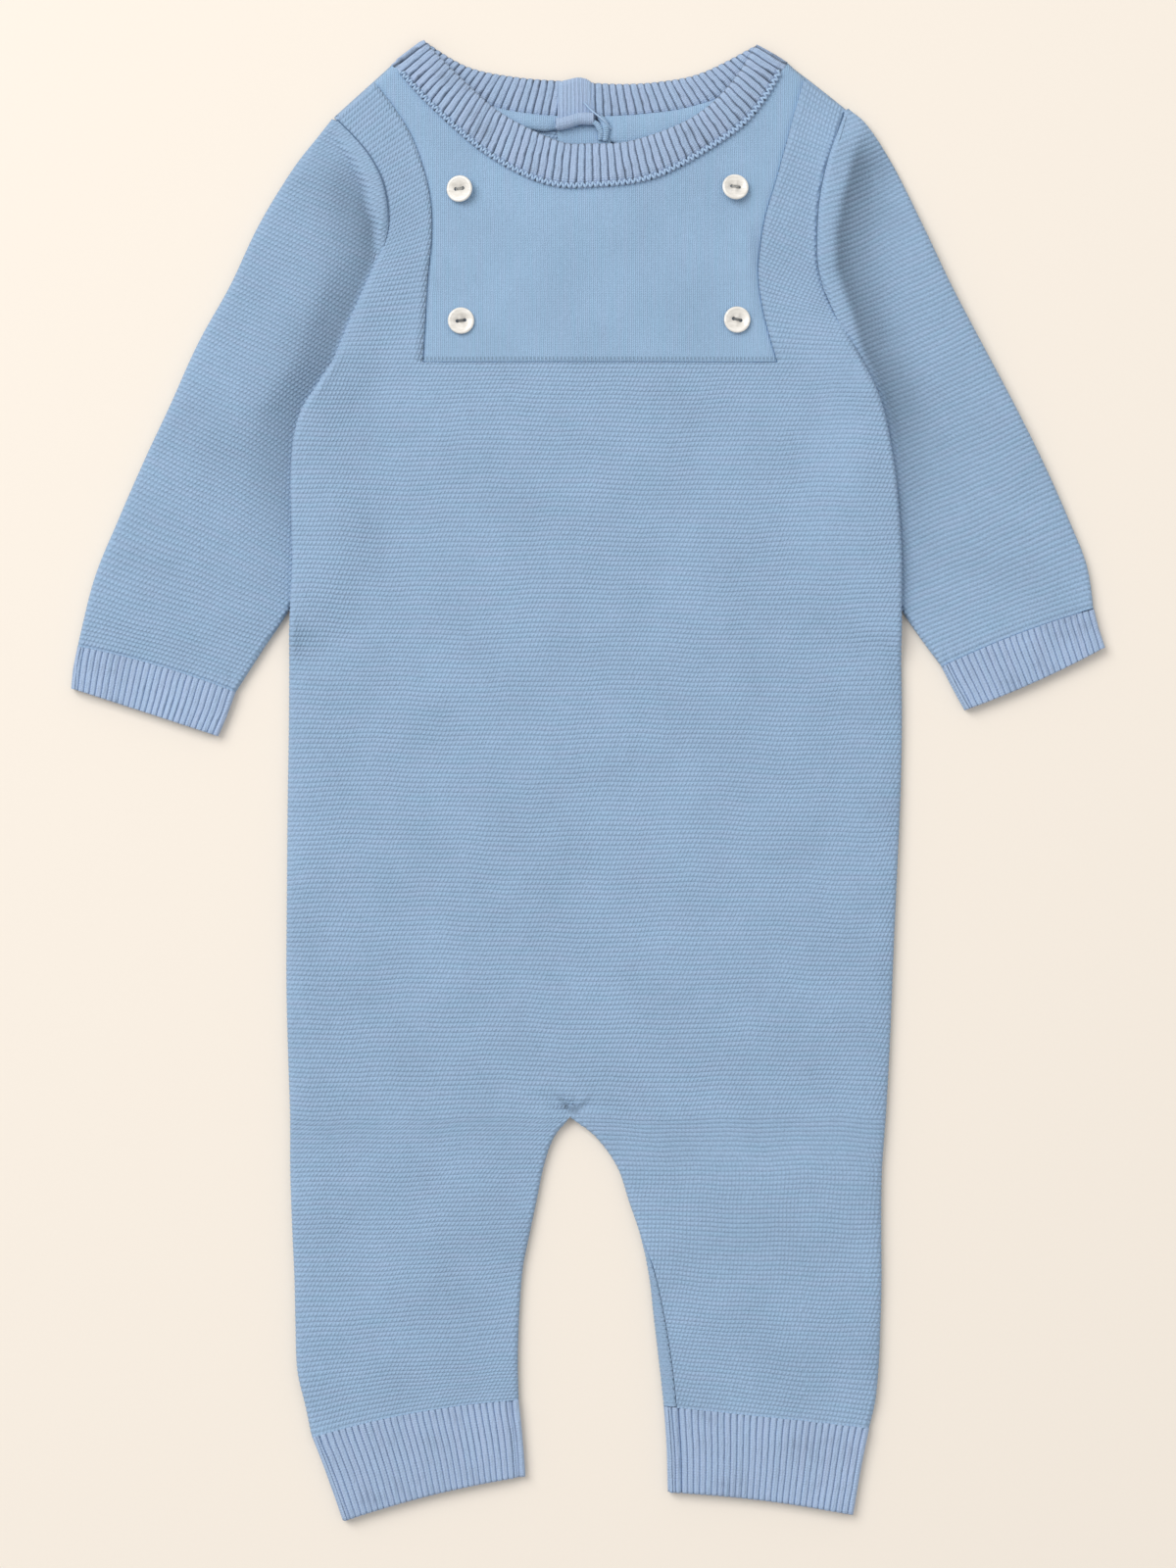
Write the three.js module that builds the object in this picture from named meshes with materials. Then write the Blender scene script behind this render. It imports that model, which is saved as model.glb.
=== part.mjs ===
// A knitted baby romper with long sleeves and long legs, laid flat on its back.
// The body and sleeves are ridged knit, the bib is plain knit, and the neckband and cuffs are ribbed.
// X runs across the garment, Y from the ankles to the neck and Z up. Left and right are as seen from above.

import * as THREE from 'three';

// Driving dimensions, in millimetres
const CLOTH = 1.6;
const RIB_CLOTH = 1.8;
const SEAM_GAP = 0.3;
const LAYER_STEP = 2.8;
const BACK_HEIGHT = CLOTH / 2;
const RIB_PITCH = 2.7;
const RIB_HEIGHT = 0.5;
const SHOULDER_ROLL = 1.4;
const CURVE_ALLOWANCE = 0.25;
const SLEEVE_PRESSED = 2.2;
const BODY_LIFT = 4.2;
const ARMHOLE_RIDGE = 1.9;
const NECK_FRONT_RISE = 1.4;
const BUTTON = { diameter: 10.4, thickness: 1.5, hole: 1.5, holeSpacing: 2.8, holeSides: 8, arcSides: 10 };
const PLACKET = { left: -12, right: 9, top: 259, bottom: 170, thickness: 1.4 };
const SLIT = { x: -1.5, width: 0.6 };
const NECK_TAPE = { width: 3.6, thickness: 1.0, drop: 1 };
const NECK_CORNER_LENGTH = 14;
// Where the neckband's ends lie, as shares of the back neck from the left and from the right
const NECK_ENDS = { left: 0.515, right: 0.385 };

// A table of rows of numbers under named columns
function table(columns, rows) {
  const names = columns.split(' ');
  return rows.map((row) => Object.fromEntries(names.map((name, k) => [name, row[k]])));
}

// The side strips beside the bib, one row for each section from the shoulder down to the bib's lower edge
const STRIPS = table('leftX leftY bibLeftX bibLeftY bibRightX bibRightY rightX rightY', [
  [-100, 261, -84, 274.5, 85, 276, 101, 264.5],
  [-92, 253, -77, 265.5, 81, 262, 97.5, 253],
  [-85, 244, -70, 254.5, 77.5, 249, 94, 243],
  [-80, 233, -65, 241.5, 74, 236, 91, 229],
  [-78.5, 219, -62, 228.5, 70, 222.5, 90, 215],
  [-82, 207, -61.5, 214, 68, 211, 90.5, 201],
  [-88, 194, -63, 198, 67, 198, 95, 188],
  [-95, 178.5, -64, 181, 69.5, 182, 101, 177.5],
  [-100.5, 164.5, -65, 164.5, 74.5, 164.5, 108, 164.5],
]);

// The torso between the bib and the crotch, one row for each section
const TORSO = table('y left right', [
  [164.5, -100.5, 108],
  [154, -107.5, 113],
  [145.5, -112.5, 116],
  [134, -115.5, 118.5],
  [121, -116.5, 120.5],
  [105, -116.3, 122],
  [87, -116, 123],
  [68, -116.8, 123],
  [50, -117.3, 123],
  [22, -117.5, 123.3],
  [-10, -118, 122.6],
  [-45, -118.3, 121],
  [-78, -118.5, 119.6],
  [-105, -117.9, 118.5],
  [-122, -117.3, 117.6],
  [-132, -117, 117],
]);

// The legs from the crotch to the ankle cuffs; wrap is how far the back rolls over to the front at the inseam
const LEGS = table('leftX leftY innerLeftX innerLeftY innerRightX innerRightY rightX rightY wrap', [
  [-117, -132, -7, -132, -7, -132, 117, -132, 0],
  [-117, -141, -13.5, -140, 3, -139.5, 116.3, -141, 0],
  [-117, -152, -17.3, -151, 11.5, -151, 115.5, -152, 0],
  [-116.6, -166, -20, -164, 16, -164, 115.2, -166, 0],
  [-116, -181, -23, -178, 20.5, -178, 115.2, -181, 1],
  [-115.3, -197, -25.7, -192, 23.7, -193, 115.3, -197, 2.6],
  [-114.9, -215, -27, -208, 25.6, -209, 114.9, -213, 4.2],
  [-114.2, -232, -27.6, -225, 27.2, -223, 114.3, -229, 5],
  [-111, -246, -27.5, -235, 28.6, -235, 113, -243, 5.2],
  [-108.6, -257.6, -27.3, -243, 29.8, -245.5, 110.5, -254, 5],
]);

// The sleeves from the armhole to the cuff. Bulge is how much of the armhole's curve a section keeps,
// and bow is how far its middle curves towards the shoulder.
const SLEEVE_LEFT = table('leftX leftY rightX rightY bulge bow', [
  [-100, 261, -112.8, 142, 1, 0],
  [-106.3, 253, -111.5, 139, 0.82, 0],
  [-117, 239, -109.5, 133, 0.55, 0],
  [-129.7, 218, -107.4, 123, 0.25, 0],
  [-140.5, 195, -106.3, 111, 0.08, 0],
  [-153.2, 172, -107, 98, 0, 0],
  [-163.6, 149, -109.3, 86, 0, 0],
  [-174.4, 126, -113.5, 75, 0, 0],
  [-184.5, 103, -118.8, 65, 0, 0],
  [-194, 79.7, -128.5, 50.5, 0, 0.6],
  [-200.6, 53, -138.5, 35, 0, 1.5],
]);
const SLEEVE_RIGHT = table('leftX leftY rightX rightY bulge bow', [
  [116.4, 142, 101, 264.5, 1, 0],
  [115.4, 139, 109, 258.5, 0.82, 0],
  [113.6, 133, 119.5, 243, 0.55, 0],
  [112, 123, 131.7, 218.3, 0.25, 0],
  [111.4, 110, 142.8, 195, 0.08, 0],
  [112.4, 97, 154.8, 172, 0, 0],
  [115, 85, 167.1, 149, 0, 0],
  [119, 75, 178.6, 126, 0, 0],
  [124.6, 65, 189, 102.8, 0, 0],
  [131.5, 55, 196, 85, 0, 0.6],
  [139, 45, 198.7, 67.5, 0, 1.5],
]);

// The ribbed cuffs, from the end that is sewn on to the open end; bow is how far the middle of a section curves
const CUFF_COLUMNS = 'leftX leftY rightX rightY bow';
const CUFFS = {
  sleeve_cuff_left: table(CUFF_COLUMNS, [
    [-200.6, 53, -138.5, 35, 1.5],
    [-202.2, 45, -141.8, 26, 0.8],
    [-203, 36.5, -145.5, 17.7, 0],
  ]),
  sleeve_cuff_right: table(CUFF_COLUMNS, [
    [139, 45, 198.7, 67.5, 1.5],
    [143.4, 36.5, 200.6, 60, 0],
    [148.2, 28, 203, 52.6, -1.4],
  ]),
  ankle_cuff_left: table(CUFF_COLUMNS, [
    [-108.6, -257.6, -27.3, -243, 2.3],
    [-102.2, -274, -25.8, -258, 2],
    [-96.2, -290.7, -24.8, -273, 1.7],
  ]),
  ankle_cuff_right: table(CUFF_COLUMNS, [
    [29.8, -245.5, 110.5, -254, 0.2],
    [31, -262, 107, -271, 0.8],
    [31.6, -279.3, 104, -288.2, 1.4],
  ]),
};

// The neck: its open edge and its sewn edge, in front and behind, from the left shoulder to the right one
const NECK_FRONT_OPEN = [
  [-64.3, 290.7], [-50.8, 276.4], [-34, 261.8], [-12, 251], [1, 250],
  [17, 251], [39.7, 259.5], [55.4, 272.6], [66, 289],
];
const NECK_FRONT_SEWN = [
  [-76.6, 281.4], [-62, 265.3], [-39.7, 246], [-17, 234.6], [2.5, 233.3],
  [28, 237.5], [56.6, 254.1], [69, 267], [77.8, 282.2],
];
const NECK_BACK_OPEN = [
  [-64.3, 290.7], [-47.4, 280.7], [-28, 276.6], [-8, 275],
  [11, 273.9], [28, 274.8], [45, 278.4], [66, 289],
];
const NECK_BACK_SEWN = [
  [-76.6, 281.4], [-65.5, 273.2], [-50, 267.8], [-28, 262], [-2, 260],
  [28, 261.8], [45, 265.3], [62, 271.6], [77.8, 282.2],
];

// Soft ridges and troughs of the front layer: a line from one end to the other, its half width and its height
const FOLDS = [
  { name: 'left side roll', x1: -109, y1: 40, x2: -110, y2: -235, width: 9, height: 0.7 },
  { name: 'right side roll', x1: 115, y1: 40, x2: 108, y2: -235, width: 9, height: 0.7 },
  { name: 'chest over the placket', x1: -2, y1: 240, x2: -2, y2: 190, width: 40, height: 1.5 },
  { name: 'left sleeve trough', x1: -94, y1: 232, x2: -99, y2: 178, width: 7, height: -1.1 },
  { name: 'left sleeve crown', x1: -122, y1: 205, x2: -165, y2: 100, width: 17, height: 1.1 },
  { name: 'right seam ridge', x1: 96, y1: 248, x2: 94, y2: 205, width: 5, height: 0.8 },
  { name: 'right sleeve trough', x1: 112, y1: 240, x2: 118, y2: 176, width: 6.5, height: -1.1 },
  { name: 'right sleeve crown', x1: 128, y1: 205, x2: 168, y2: 105, width: 17, height: 1.1 },
  { name: 'bib crease', x1: 66, y1: 215, x2: 70, y2: 192, width: 2.5, height: -0.7 },
  { name: 'bib corner ridge', x1: 62, y1: 212, x2: 64, y2: 186, width: 3.5, height: 0.6 },
  { name: 'left crotch dimple', x1: -14, y1: -123, x2: -8, y2: -127, width: 3.5, height: -0.9 },
  { name: 'right crotch crease', x1: -4, y1: -127, x2: 3, y2: -121, width: 3, height: -0.8 },
  { name: 'seat fullness', x1: -50, y1: -95, x2: 45, y2: -95, width: 26, height: 0.9 },
  { name: 'left leg crease', x1: -31, y1: -150, x2: -26, y2: -165, width: 4, height: -0.7 },
  { name: 'left knee', x1: -70, y1: -170, x2: -66, y2: -225, width: 20, height: 0.8 },
  { name: 'right knee', x1: 70, y1: -165, x2: 70, y2: -225, width: 20, height: 0.8 },
];

const BUTTONS = {
  button_upper_left: { x: -50.4, y: 232.2, tilt: 14, towards: 180, turn: 4 },
  button_lower_left: { x: -49.8, y: 180.6, tilt: 3, towards: 0, turn: 8 },
  button_upper_right: { x: 57.8, y: 232.9, tilt: 15, towards: 60, turn: -6 },
  button_lower_right: { x: 58.5, y: 181, tilt: 4, towards: 30, turn: -14 },
};

const COLOURS = { knit: 0x86abcd, plain: 0x8fb4d8, rib: 0x8aafd4, shell: 0xece8e0 };

const finishes = {
  knit: new THREE.MeshStandardMaterial({ color: COLOURS.knit, roughness: 0.95, metalness: 0 }),
  plain: new THREE.MeshStandardMaterial({ color: COLOURS.plain, roughness: 0.92, metalness: 0 }),
  rib: new THREE.MeshStandardMaterial({ color: COLOURS.rib, roughness: 0.95, metalness: 0 }),
  shell: new THREE.MeshStandardMaterial({ color: COLOURS.shell, roughness: 0.25, metalness: 0 }),
};

const romper = new THREE.Group();

function addPiece(name, geometry, finish) {
  const mesh = new THREE.Mesh(geometry, finishes[finish]);
  mesh.name = name;
  romper.add(mesh);
  return mesh;
}

const lerp = THREE.MathUtils.lerp;
const smoothstep = (x, low, high) => THREE.MathUtils.smoothstep(x, low, high);

// A column of a table at a position between two rows, on a smooth curve through the rows
function columnAt(rows, column, position) {
  const last = rows.length - 1;
  const k = Math.min(Math.floor(position), last - 1);
  const t = position - k;
  const value = (i) => rows[THREE.MathUtils.clamp(i, 0, last)][column];
  const [a, b, c, d] = [value(k - 1), value(k), value(k + 1), value(k + 2)];
  return b + 0.5 * t * (c - a + t * (2 * a - 5 * b + 4 * c - d + t * (3 * (b - c) + d - a)));
}

function pointAt(rows, side, position) {
  return new THREE.Vector3(columnAt(rows, `${side}X`, position), columnAt(rows, `${side}Y`, position), 0);
}

// A column as a function of another one that falls from row to row, such as an edge's X at a height Y
function lookUp(rows, key, column, value) {
  const k = rows.findIndex((row) => row[key] <= value);
  if (k === 0) return rows[0][column];
  if (k < 0) return rows.at(-1)[column];
  const share = (rows[k - 1][key] - value) / (rows[k - 1][key] - rows[k][key]);
  return lerp(rows[k - 1][column], rows[k][column], share);
}

function distanceToLine(x, y, x1, y1, x2, y2) {
  const length = (x2 - x1) ** 2 + (y2 - y1) ** 2;
  const share = THREE.MathUtils.clamp(((x - x1) * (x2 - x1) + (y - y1) * (y2 - y1)) / length, 0, 1);
  return Math.hypot(x - lerp(x1, x2, share), y - lerp(y1, y2, share));
}

// X of the body's side edge at a height, on the left or the right
function bodyEdge(side, y) {
  if (y > TORSO[0].y) return lookUp(STRIPS, `${side}Y`, `${side}X`, y);
  return lookUp(TORSO, 'y', side, y);
}

// How far the body is raised where it lies on the sleeve's inner edge
function lift(x, y) {
  const side = x < 0 ? 'left' : 'right';
  const sleeve = x < 0 ? SLEEVE_LEFT : SLEEVE_RIGHT;
  const inner = x < 0 ? 'right' : 'left';
  const sleeveEdge = lookUp(sleeve, `${inner}Y`, `${inner}X`, y);
  const inward = side === 'left' ? x - sleeveEdge : sleeveEdge - x;
  const along = smoothstep(-y, -174, -153) * smoothstep(y, 42, 60);
  return BODY_LIFT * along * (1 - smoothstep(inward, 3, 30));
}

// The ridge that the body's front makes over the sleeve below the end of each armhole seam
function armholeRidge(x, y) {
  const side = x < 0 ? 'left' : 'right';
  const seamEnd = x < 0 ? 218 : 190;
  const inward = Math.abs(bodyEdge(side, y) - x);
  const along = smoothstep(-y, -seamEnd, 22 - seamEnd) * smoothstep(y, 120, 160);
  return ARMHOLE_RIDGE * along * (1 - smoothstep(inward, 4, 24));
}

// How far the sleeve is pressed down beside and under the body, from 0 to 1
function pressed(x, y) {
  const side = x < 0 ? 'left' : 'right';
  const seamEnd = x < 0 ? 222 : 192;
  const outward = side === 'left' ? bodyEdge(side, y) - x : x - bodyEdge(side, y);
  const along = smoothstep(-y, -seamEnd, 26 - seamEnd) * smoothstep(y, 38, 66);
  return along * (1 - smoothstep(outward, 2, 17));
}

// Height of the middle of the front layer, before the lift and the ridge
function frontField(x, y) {
  let height = BACK_HEIGHT + LAYER_STEP;
  for (const fold of FOLDS) {
    const off = distanceToLine(x, y, fold.x1, fold.y1, fold.x2, fold.y2) / fold.width;
    height += fold.height * Math.exp(-off * off);
  }
  return height;
}

const bodyFront = (x, y) => frontField(x, y) + lift(x, y) + armholeRidge(x, y);
const bodyBack = (x, y) => BACK_HEIGHT + lift(x, y);
const sleeveFront = (x, y) => lerp(frontField(x, y), BACK_HEIGHT + SLEEVE_PRESSED, pressed(x, y));
const sleeveBack = () => BACK_HEIGHT;

const SHOULDERS = [
  [[STRIPS[0].leftX, STRIPS[0].leftY], NECK_FRONT_SEWN[0]],
  [[STRIPS[0].rightX, STRIPS[0].rightY], NECK_FRONT_SEWN.at(-1)],
];

// At the shoulder lines the front turns down and the back turns up until they meet: the share of that turn
function shoulderTurn(x, y) {
  const distances = SHOULDERS.map(([a, b]) => distanceToLine(x, y, ...a, ...b));
  const cosine = 1 - THREE.MathUtils.clamp((Math.min(...distances) - CLOTH / 2) / SHOULDER_ROLL, 0, 1);
  return 1 - Math.sqrt(1 - cosine * cosine);
}

function upperFront(x, y) {
  const half = (bodyFront(x, y) - bodyBack(x, y)) / 2;
  return bodyFront(x, y) - (half - SEAM_GAP / 2) * shoulderTurn(x, y);
}

function upperBack(x, y) {
  const half = (bodyFront(x, y) - bodyBack(x, y)) / 2;
  return bodyBack(x, y) + (half - SEAM_GAP / 2) * shoulderTurn(x, y);
}

// The way into the garment, square to a shoulder line
function inwardFrom([a, b]) {
  const way = new THREE.Vector3(b[1] - a[1], a[0] - b[0], 0).normalize();
  return way.y > 0 ? way.negate() : way;
}

// Closes a sheet of quads into a wall. Relief raises single points of the outer or the inner side.
// A point on a seam may bring its own facing, so that the two edges that meet there stay parallel.
function thicken(points, quads, cloth, outerRelief = () => 0, innerRelief = () => 0) {
  const keys = new Map();
  const merged = [];
  const ids = points.map((p, i) => {
    const key = p.toArray().map((v) => v.toFixed(4)).join();
    if (!keys.has(key)) {
      keys.set(key, merged.length);
      merged.push({ p, i, n: new THREE.Vector3(), facing: p.facing });
    }
    return keys.get(key);
  });
  const faces = quads.map((quad) => quad.map((i) => ids[i]));
  const sides = new Map();
  for (const face of faces) {
    const [a, b, c, d] = face.map((i) => merged[i].p);
    const normal = c.clone().sub(a).cross(d.clone().sub(b));
    face.forEach((i) => merged[i].n.add(normal));
    face.forEach((from, k) => {
      const to = face[(k + 1) % 4];
      if (!sides.delete(`${to},${from}`)) sides.set(`${from},${to}`, [from, to]);
    });
  }
  const positions = [];
  for (const way of [1, -1]) {
    for (const { p, i, n, facing } of merged) {
      const relief = way > 0 ? outerRelief(i) : innerRelief(i);
      const normal = (facing ?? n).clone().normalize();
      positions.push(...p.clone().addScaledVector(normal, way * (cloth / 2 + relief)).toArray());
    }
  }
  const index = [];
  const inner = merged.length;
  for (const [a, b, c, d] of faces) {
    index.push(a, b, c, a, c, d);
    index.push(inner + a, inner + c, inner + b, inner + a, inner + d, inner + c);
  }
  for (const [a, b] of sides.values()) {
    index.push(a, inner + a, inner + b, a, inner + b, b);
  }
  const geometry = new THREE.BufferGeometry();
  geometry.setAttribute('position', new THREE.Float32BufferAttribute(positions, 3));
  geometry.setIndex(index);
  geometry.computeVertexNormals();
  return geometry;
}

// The quads of a grid of points whose rows run down the garment and whose columns run to the right
function gridQuads(rows, columns, closed = false, first = 0) {
  const quads = [];
  for (let i = 0; i < rows - 1; i++) {
    for (let j = 0; j < (closed ? columns : columns - 1); j++) {
      const next = (j + 1) % columns;
      quads.push([i * columns + j, (i + 1) * columns + j, (i + 1) * columns + next, i * columns + next]);
    }
  }
  return quads.map((quad) => quad.map((k) => k + first));
}

// Where a layer's middle lies round a side fold, at a length along the cloth from the fold's foot
function onFold(length, radius, centre) {
  const angle = Math.min(length / radius, Math.PI) - Math.PI / 2;
  const beyond = Math.max(length - Math.PI * radius, 0);
  const inward = CLOTH / 2 + radius * (1 - Math.cos(angle)) + beyond;
  return { inward, height: centre + radius * Math.sin(angle) };
}

// One span of a row, from point a to point b. Its end at a may roll round the fold that both layers share.
function span(a, b, count, heightOf, roll) {
  const points = [];
  const way = b.clone().sub(a);
  const total = way.length();
  way.normalize();
  const place = (inward, height) => points.push(a.clone().addScaledVector(way, inward).setZ(height));
  let from = 0;
  if (roll) {
    const top = bodyFront(a.x, a.y);
    const bottom = bodyBack(a.x, a.y);
    const radius = (top - bottom) / 2;
    const seam = (Math.PI * radius) / 2 + roll.wrap;
    const halfGap = SEAM_GAP * (roll.wrap > 0 ? 1.5 : 0.5);
    const start = roll.layer === 'front' ? seam + halfGap : seam - halfGap;
    const end = roll.layer === 'front' ? Math.max(Math.PI * radius, start + 0.8) : 0;
    const flat = roll.layer === 'front' ? top : bottom;
    for (let k = 0; k <= roll.steps; k++) {
      const onArc = (Math.PI * radius * (roll.steps - k)) / (roll.steps - 1);
      const limit = k > 0 && roll.layer === 'back' ? onArc : Infinity;
      const folded = onFold(Math.min(lerp(start, end, k / roll.steps), limit), radius, (top + bottom) / 2);
      const reach = (k / roll.steps) * (CLOTH / 2 + radius);
      from = lerp(reach, folded.inward, roll.share);
      place(from, lerp(flat, folded.height, roll.share));
    }
    const angle = Math.min(seam / radius, Math.PI) - Math.PI / 2;
    const outward = way.clone().multiplyScalar(-Math.cos(angle)).setZ(Math.sin(angle));
    if (roll.layer === 'back') outward.negate();
    points[0].facing = new THREE.Vector3(0, 0, 1).lerp(outward, roll.share);
  }
  const rest = roll ? count - roll.steps : count;
  for (let k = roll ? 1 : 0; k <= rest; k++) {
    const p = a.clone().addScaledVector(way, lerp(from, total, k / rest));
    points.push(p.setZ(heightOf(p.x, p.y)));
  }
  return points;
}

// Columns from the side edge to the bib's edge and on to the middle, and the steps round a fold
const LAYERS = {
  front: { side: 6, middle: 6, sideSteps: 2, innerSteps: 2 },
  back: { side: 5, middle: 6, sideSteps: 2, innerSteps: 3 },
};

// The rows of the torso and legs that the front and the back share, with their key points
function bodyRows(layer) {
  const rows = [];
  for (let k = 0; k < TORSO.length; k++) {
    const { y, left, right } = TORSO[k];
    const down = (TORSO[0].y - y) / (TORSO[0].y - TORSO.at(-1).y);
    const middle = new THREE.Vector3(lerp(SLIT.x, LEGS[0].innerLeftX, down), y, 0);
    rows.push({
      left: new THREE.Vector3(left, y, 0),
      guideLeft: new THREE.Vector3(STRIPS.at(-1).bibLeftX, y, 0),
      middleLeft: middle,
      middleRight: middle,
      guideRight: new THREE.Vector3(STRIPS.at(-1).bibRightX, y, 0),
      right: new THREE.Vector3(right, y, 0),
      share: layer === 'front' ? 1 : smoothstep(-y, -150, -138),
      wrap: 0,
      bowLeft: 0,
      bowRight: 0,
    });
  }
  for (let k = 1; k < LEGS.length; k++) {
    const left = pointAt(LEGS, 'left', k);
    const right = pointAt(LEGS, 'right', k);
    const middleLeft = pointAt(LEGS, 'innerLeft', k);
    const middleRight = pointAt(LEGS, 'innerRight', k);
    rows.push({
      left,
      guideLeft: left.clone().lerp(middleLeft, 0.47),
      middleLeft,
      middleRight,
      guideRight: right.clone().lerp(middleRight, 0.34),
      right,
      share: 1,
      legs: true,
      wrap: LEGS[k].wrap,
      bowLeft: CUFFS.ankle_cuff_left[0].bow * smoothstep(k, 5, LEGS.length - 1),
      bowRight: CUFFS.ankle_cuff_right[0].bow * smoothstep(k, 5, LEGS.length - 1),
    });
  }
  return rows;
}

// Lays the spans of a list of rows and gives the points of each of the four strips of columns
function layRows(rows, heightOf, layer) {
  const { side, middle, sideSteps, innerSteps } = LAYERS[layer];
  const strips = [[], [], [], []];
  for (const row of rows) {
    const outer = (share) => ({ layer, steps: sideSteps, share, wrap: 0 });
    const inner = (wrap) => (row.legs ? { layer, steps: innerSteps, share: 1, wrap } : null);
    strips[0].push(span(row.left, row.guideLeft, side, heightOf, outer(row.share)));
    const rightShare = row.shareRight ?? row.share;
    strips[3].push(span(row.right, row.guideRight, side, heightOf, outer(rightShare)).reverse());
    if (!row.middleLeft) continue;
    strips[1].push(span(row.middleLeft, row.guideLeft, middle, heightOf, inner(0)).reverse());
    strips[2].push(span(row.middleRight, row.guideRight, middle, heightOf, inner(row.wrap)));
    for (const [strip, edge, inseam] of [[0, row.left, row.middleLeft], [1, row.left, row.middleLeft],
      [2, row.right, row.middleRight], [3, row.right, row.middleRight]]) {
      for (const p of strips[strip].at(-1)) {
        const along = THREE.MathUtils.clamp((p.x - edge.x) / (inseam.x - edge.x), 0, 1);
        p.y += (strip < 2 ? row.bowLeft : row.bowRight) * 4 * along * (1 - along);
      }
    }
  }
  return strips;
}

function addStrip(points, quads, strip) {
  quads.push(...gridQuads(strip.length, strip[0].length, false, points.length));
  points.push(...strip.flat());
}

// Positions in the strips' table, with close ones at the shoulder, where the cloth turns down
const STRIP_POSITIONS = [0.07, 0.195, 0.6, 1, 2, 3, 4, 5, 6, 7, 8];

function makeFront() {
  const stripRows = STRIP_POSITIONS.slice(0, -1).map((position) => {
    const left = pointAt(STRIPS, 'left', position);
    const right = pointAt(STRIPS, 'right', position);
    return {
      left,
      guideLeft: pointAt(STRIPS, 'bibLeft', position),
      guideRight: pointAt(STRIPS, 'bibRight', position),
      right,
      share: smoothstep(-left.y, -222, -196),
      shareRight: smoothstep(-right.y, -194, -172),
    };
  });
  const points = [];
  const quads = [];
  const body = layRows(bodyRows('front'), upperFront, 'front');
  const upper = layRows(stripRows, upperFront, 'front');
  [[0, 0], [3, 1]].forEach(([strip, shoulder]) => {
    for (const p of upper[strip][0]) {
      p.z = upperFront(p.x, p.y);
      p.facing = inwardFrom(SHOULDERS[shoulder]).negate();
    }
    for (const p of upper[strip][1]) p.z = upperFront(p.x, p.y);
  });
  addStrip(points, quads, [...upper[0], ...body[0]]);
  addStrip(points, quads, body[1]);
  addStrip(points, quads, body[2]);
  addStrip(points, quads, [...upper[3], ...body[3]]);
  return thicken(points, quads, CLOTH);
}

function curveThrough(outline) {
  const points = outline.map(([x, y]) => new THREE.Vector3(x, y, 0));
  return new THREE.CatmullRomCurve3(points, false, 'centripetal');
}

// A point beside a curve, on the side away from the neck
function beside(curve, share, distance) {
  const tangent = curve.getTangentAt(share);
  return curve.getPointAt(share).add(new THREE.Vector3(tangent.y, -tangent.x, 0).setLength(distance));
}

// The upper edge of a body layer: along one shoulder, round the neck seam and along the other shoulder
function upperEdge(cornerLeft, cornerRight, neck, shoulderColumns, columns) {
  const clear = SEAM_GAP + 2 * CURVE_ALLOWANCE;
  const neckCorner = (share, corner, shoulder) => {
    const p = neck.getPoint(share).addScaledVector(inwardFrom(SHOULDERS[shoulder]), CLOTH / 2);
    return p.addScaledVector(corner.clone().sub(p).normalize(), clear);
  };
  const neckLeft = neckCorner(0, cornerLeft, 0);
  const neckRight = neckCorner(1, cornerRight, 1);
  return (j) => {
    if (j <= shoulderColumns) return cornerLeft.clone().lerp(neckLeft, j / shoulderColumns);
    const fromRight = columns - j;
    if (fromRight <= shoulderColumns) return cornerRight.clone().lerp(neckRight, fromRight / shoulderColumns);
    return beside(neck, (j - shoulderColumns) / (columns - 2 * shoulderColumns), clear);
  };
}

// The bib lies in the front's gap, from the lower edge of the neckband to the first ridged row
function makeBib() {
  const shoulderColumns = 1;
  const columns = 20;
  const low = STRIPS.length - 1;
  const first = STRIP_POSITIONS[0];
  const inset = SEAM_GAP * 1.3;
  const leftEdge = (position) => pointAt(STRIPS, 'bibLeft', position).add(new THREE.Vector3(inset, 0, 0));
  const rightEdge = (position) => pointAt(STRIPS, 'bibRight', position).add(new THREE.Vector3(-inset, 0, 0));
  const corners = [leftEdge(first), rightEdge(first), leftEdge(low), rightEdge(low)];
  const top = upperEdge(corners[0], corners[1], curveThrough(NECK_FRONT_SEWN), shoulderColumns, columns);
  const points = [];
  for (const position of STRIP_POSITIONS) {
    const v = (position - first) / (low - first);
    for (let j = 0; j <= columns; j++) {
      const u = j / columns;
      const bottom = corners[2].clone().lerp(corners[3], u);
      const across = leftEdge(position).lerp(rightEdge(position), u);
      const down = top(j).lerp(bottom, v);
      const p = across.add(down).sub(corners[0].clone().lerp(corners[1], u).lerp(bottom, v));
      p.y += SEAM_GAP * v;
      const besideStrip = j === 0 || j === columns;
      p.z = besideStrip ? upperFront(p.x, p.y) : bodyFront(p.x, p.y);
      if (position === first && besideStrip) p.facing = inwardFrom(SHOULDERS[j === 0 ? 0 : 1]).negate();
      points.push(p);
    }
  }
  return thicken(points, gridQuads(STRIP_POSITIONS.length, columns + 1), CLOTH);
}

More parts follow.
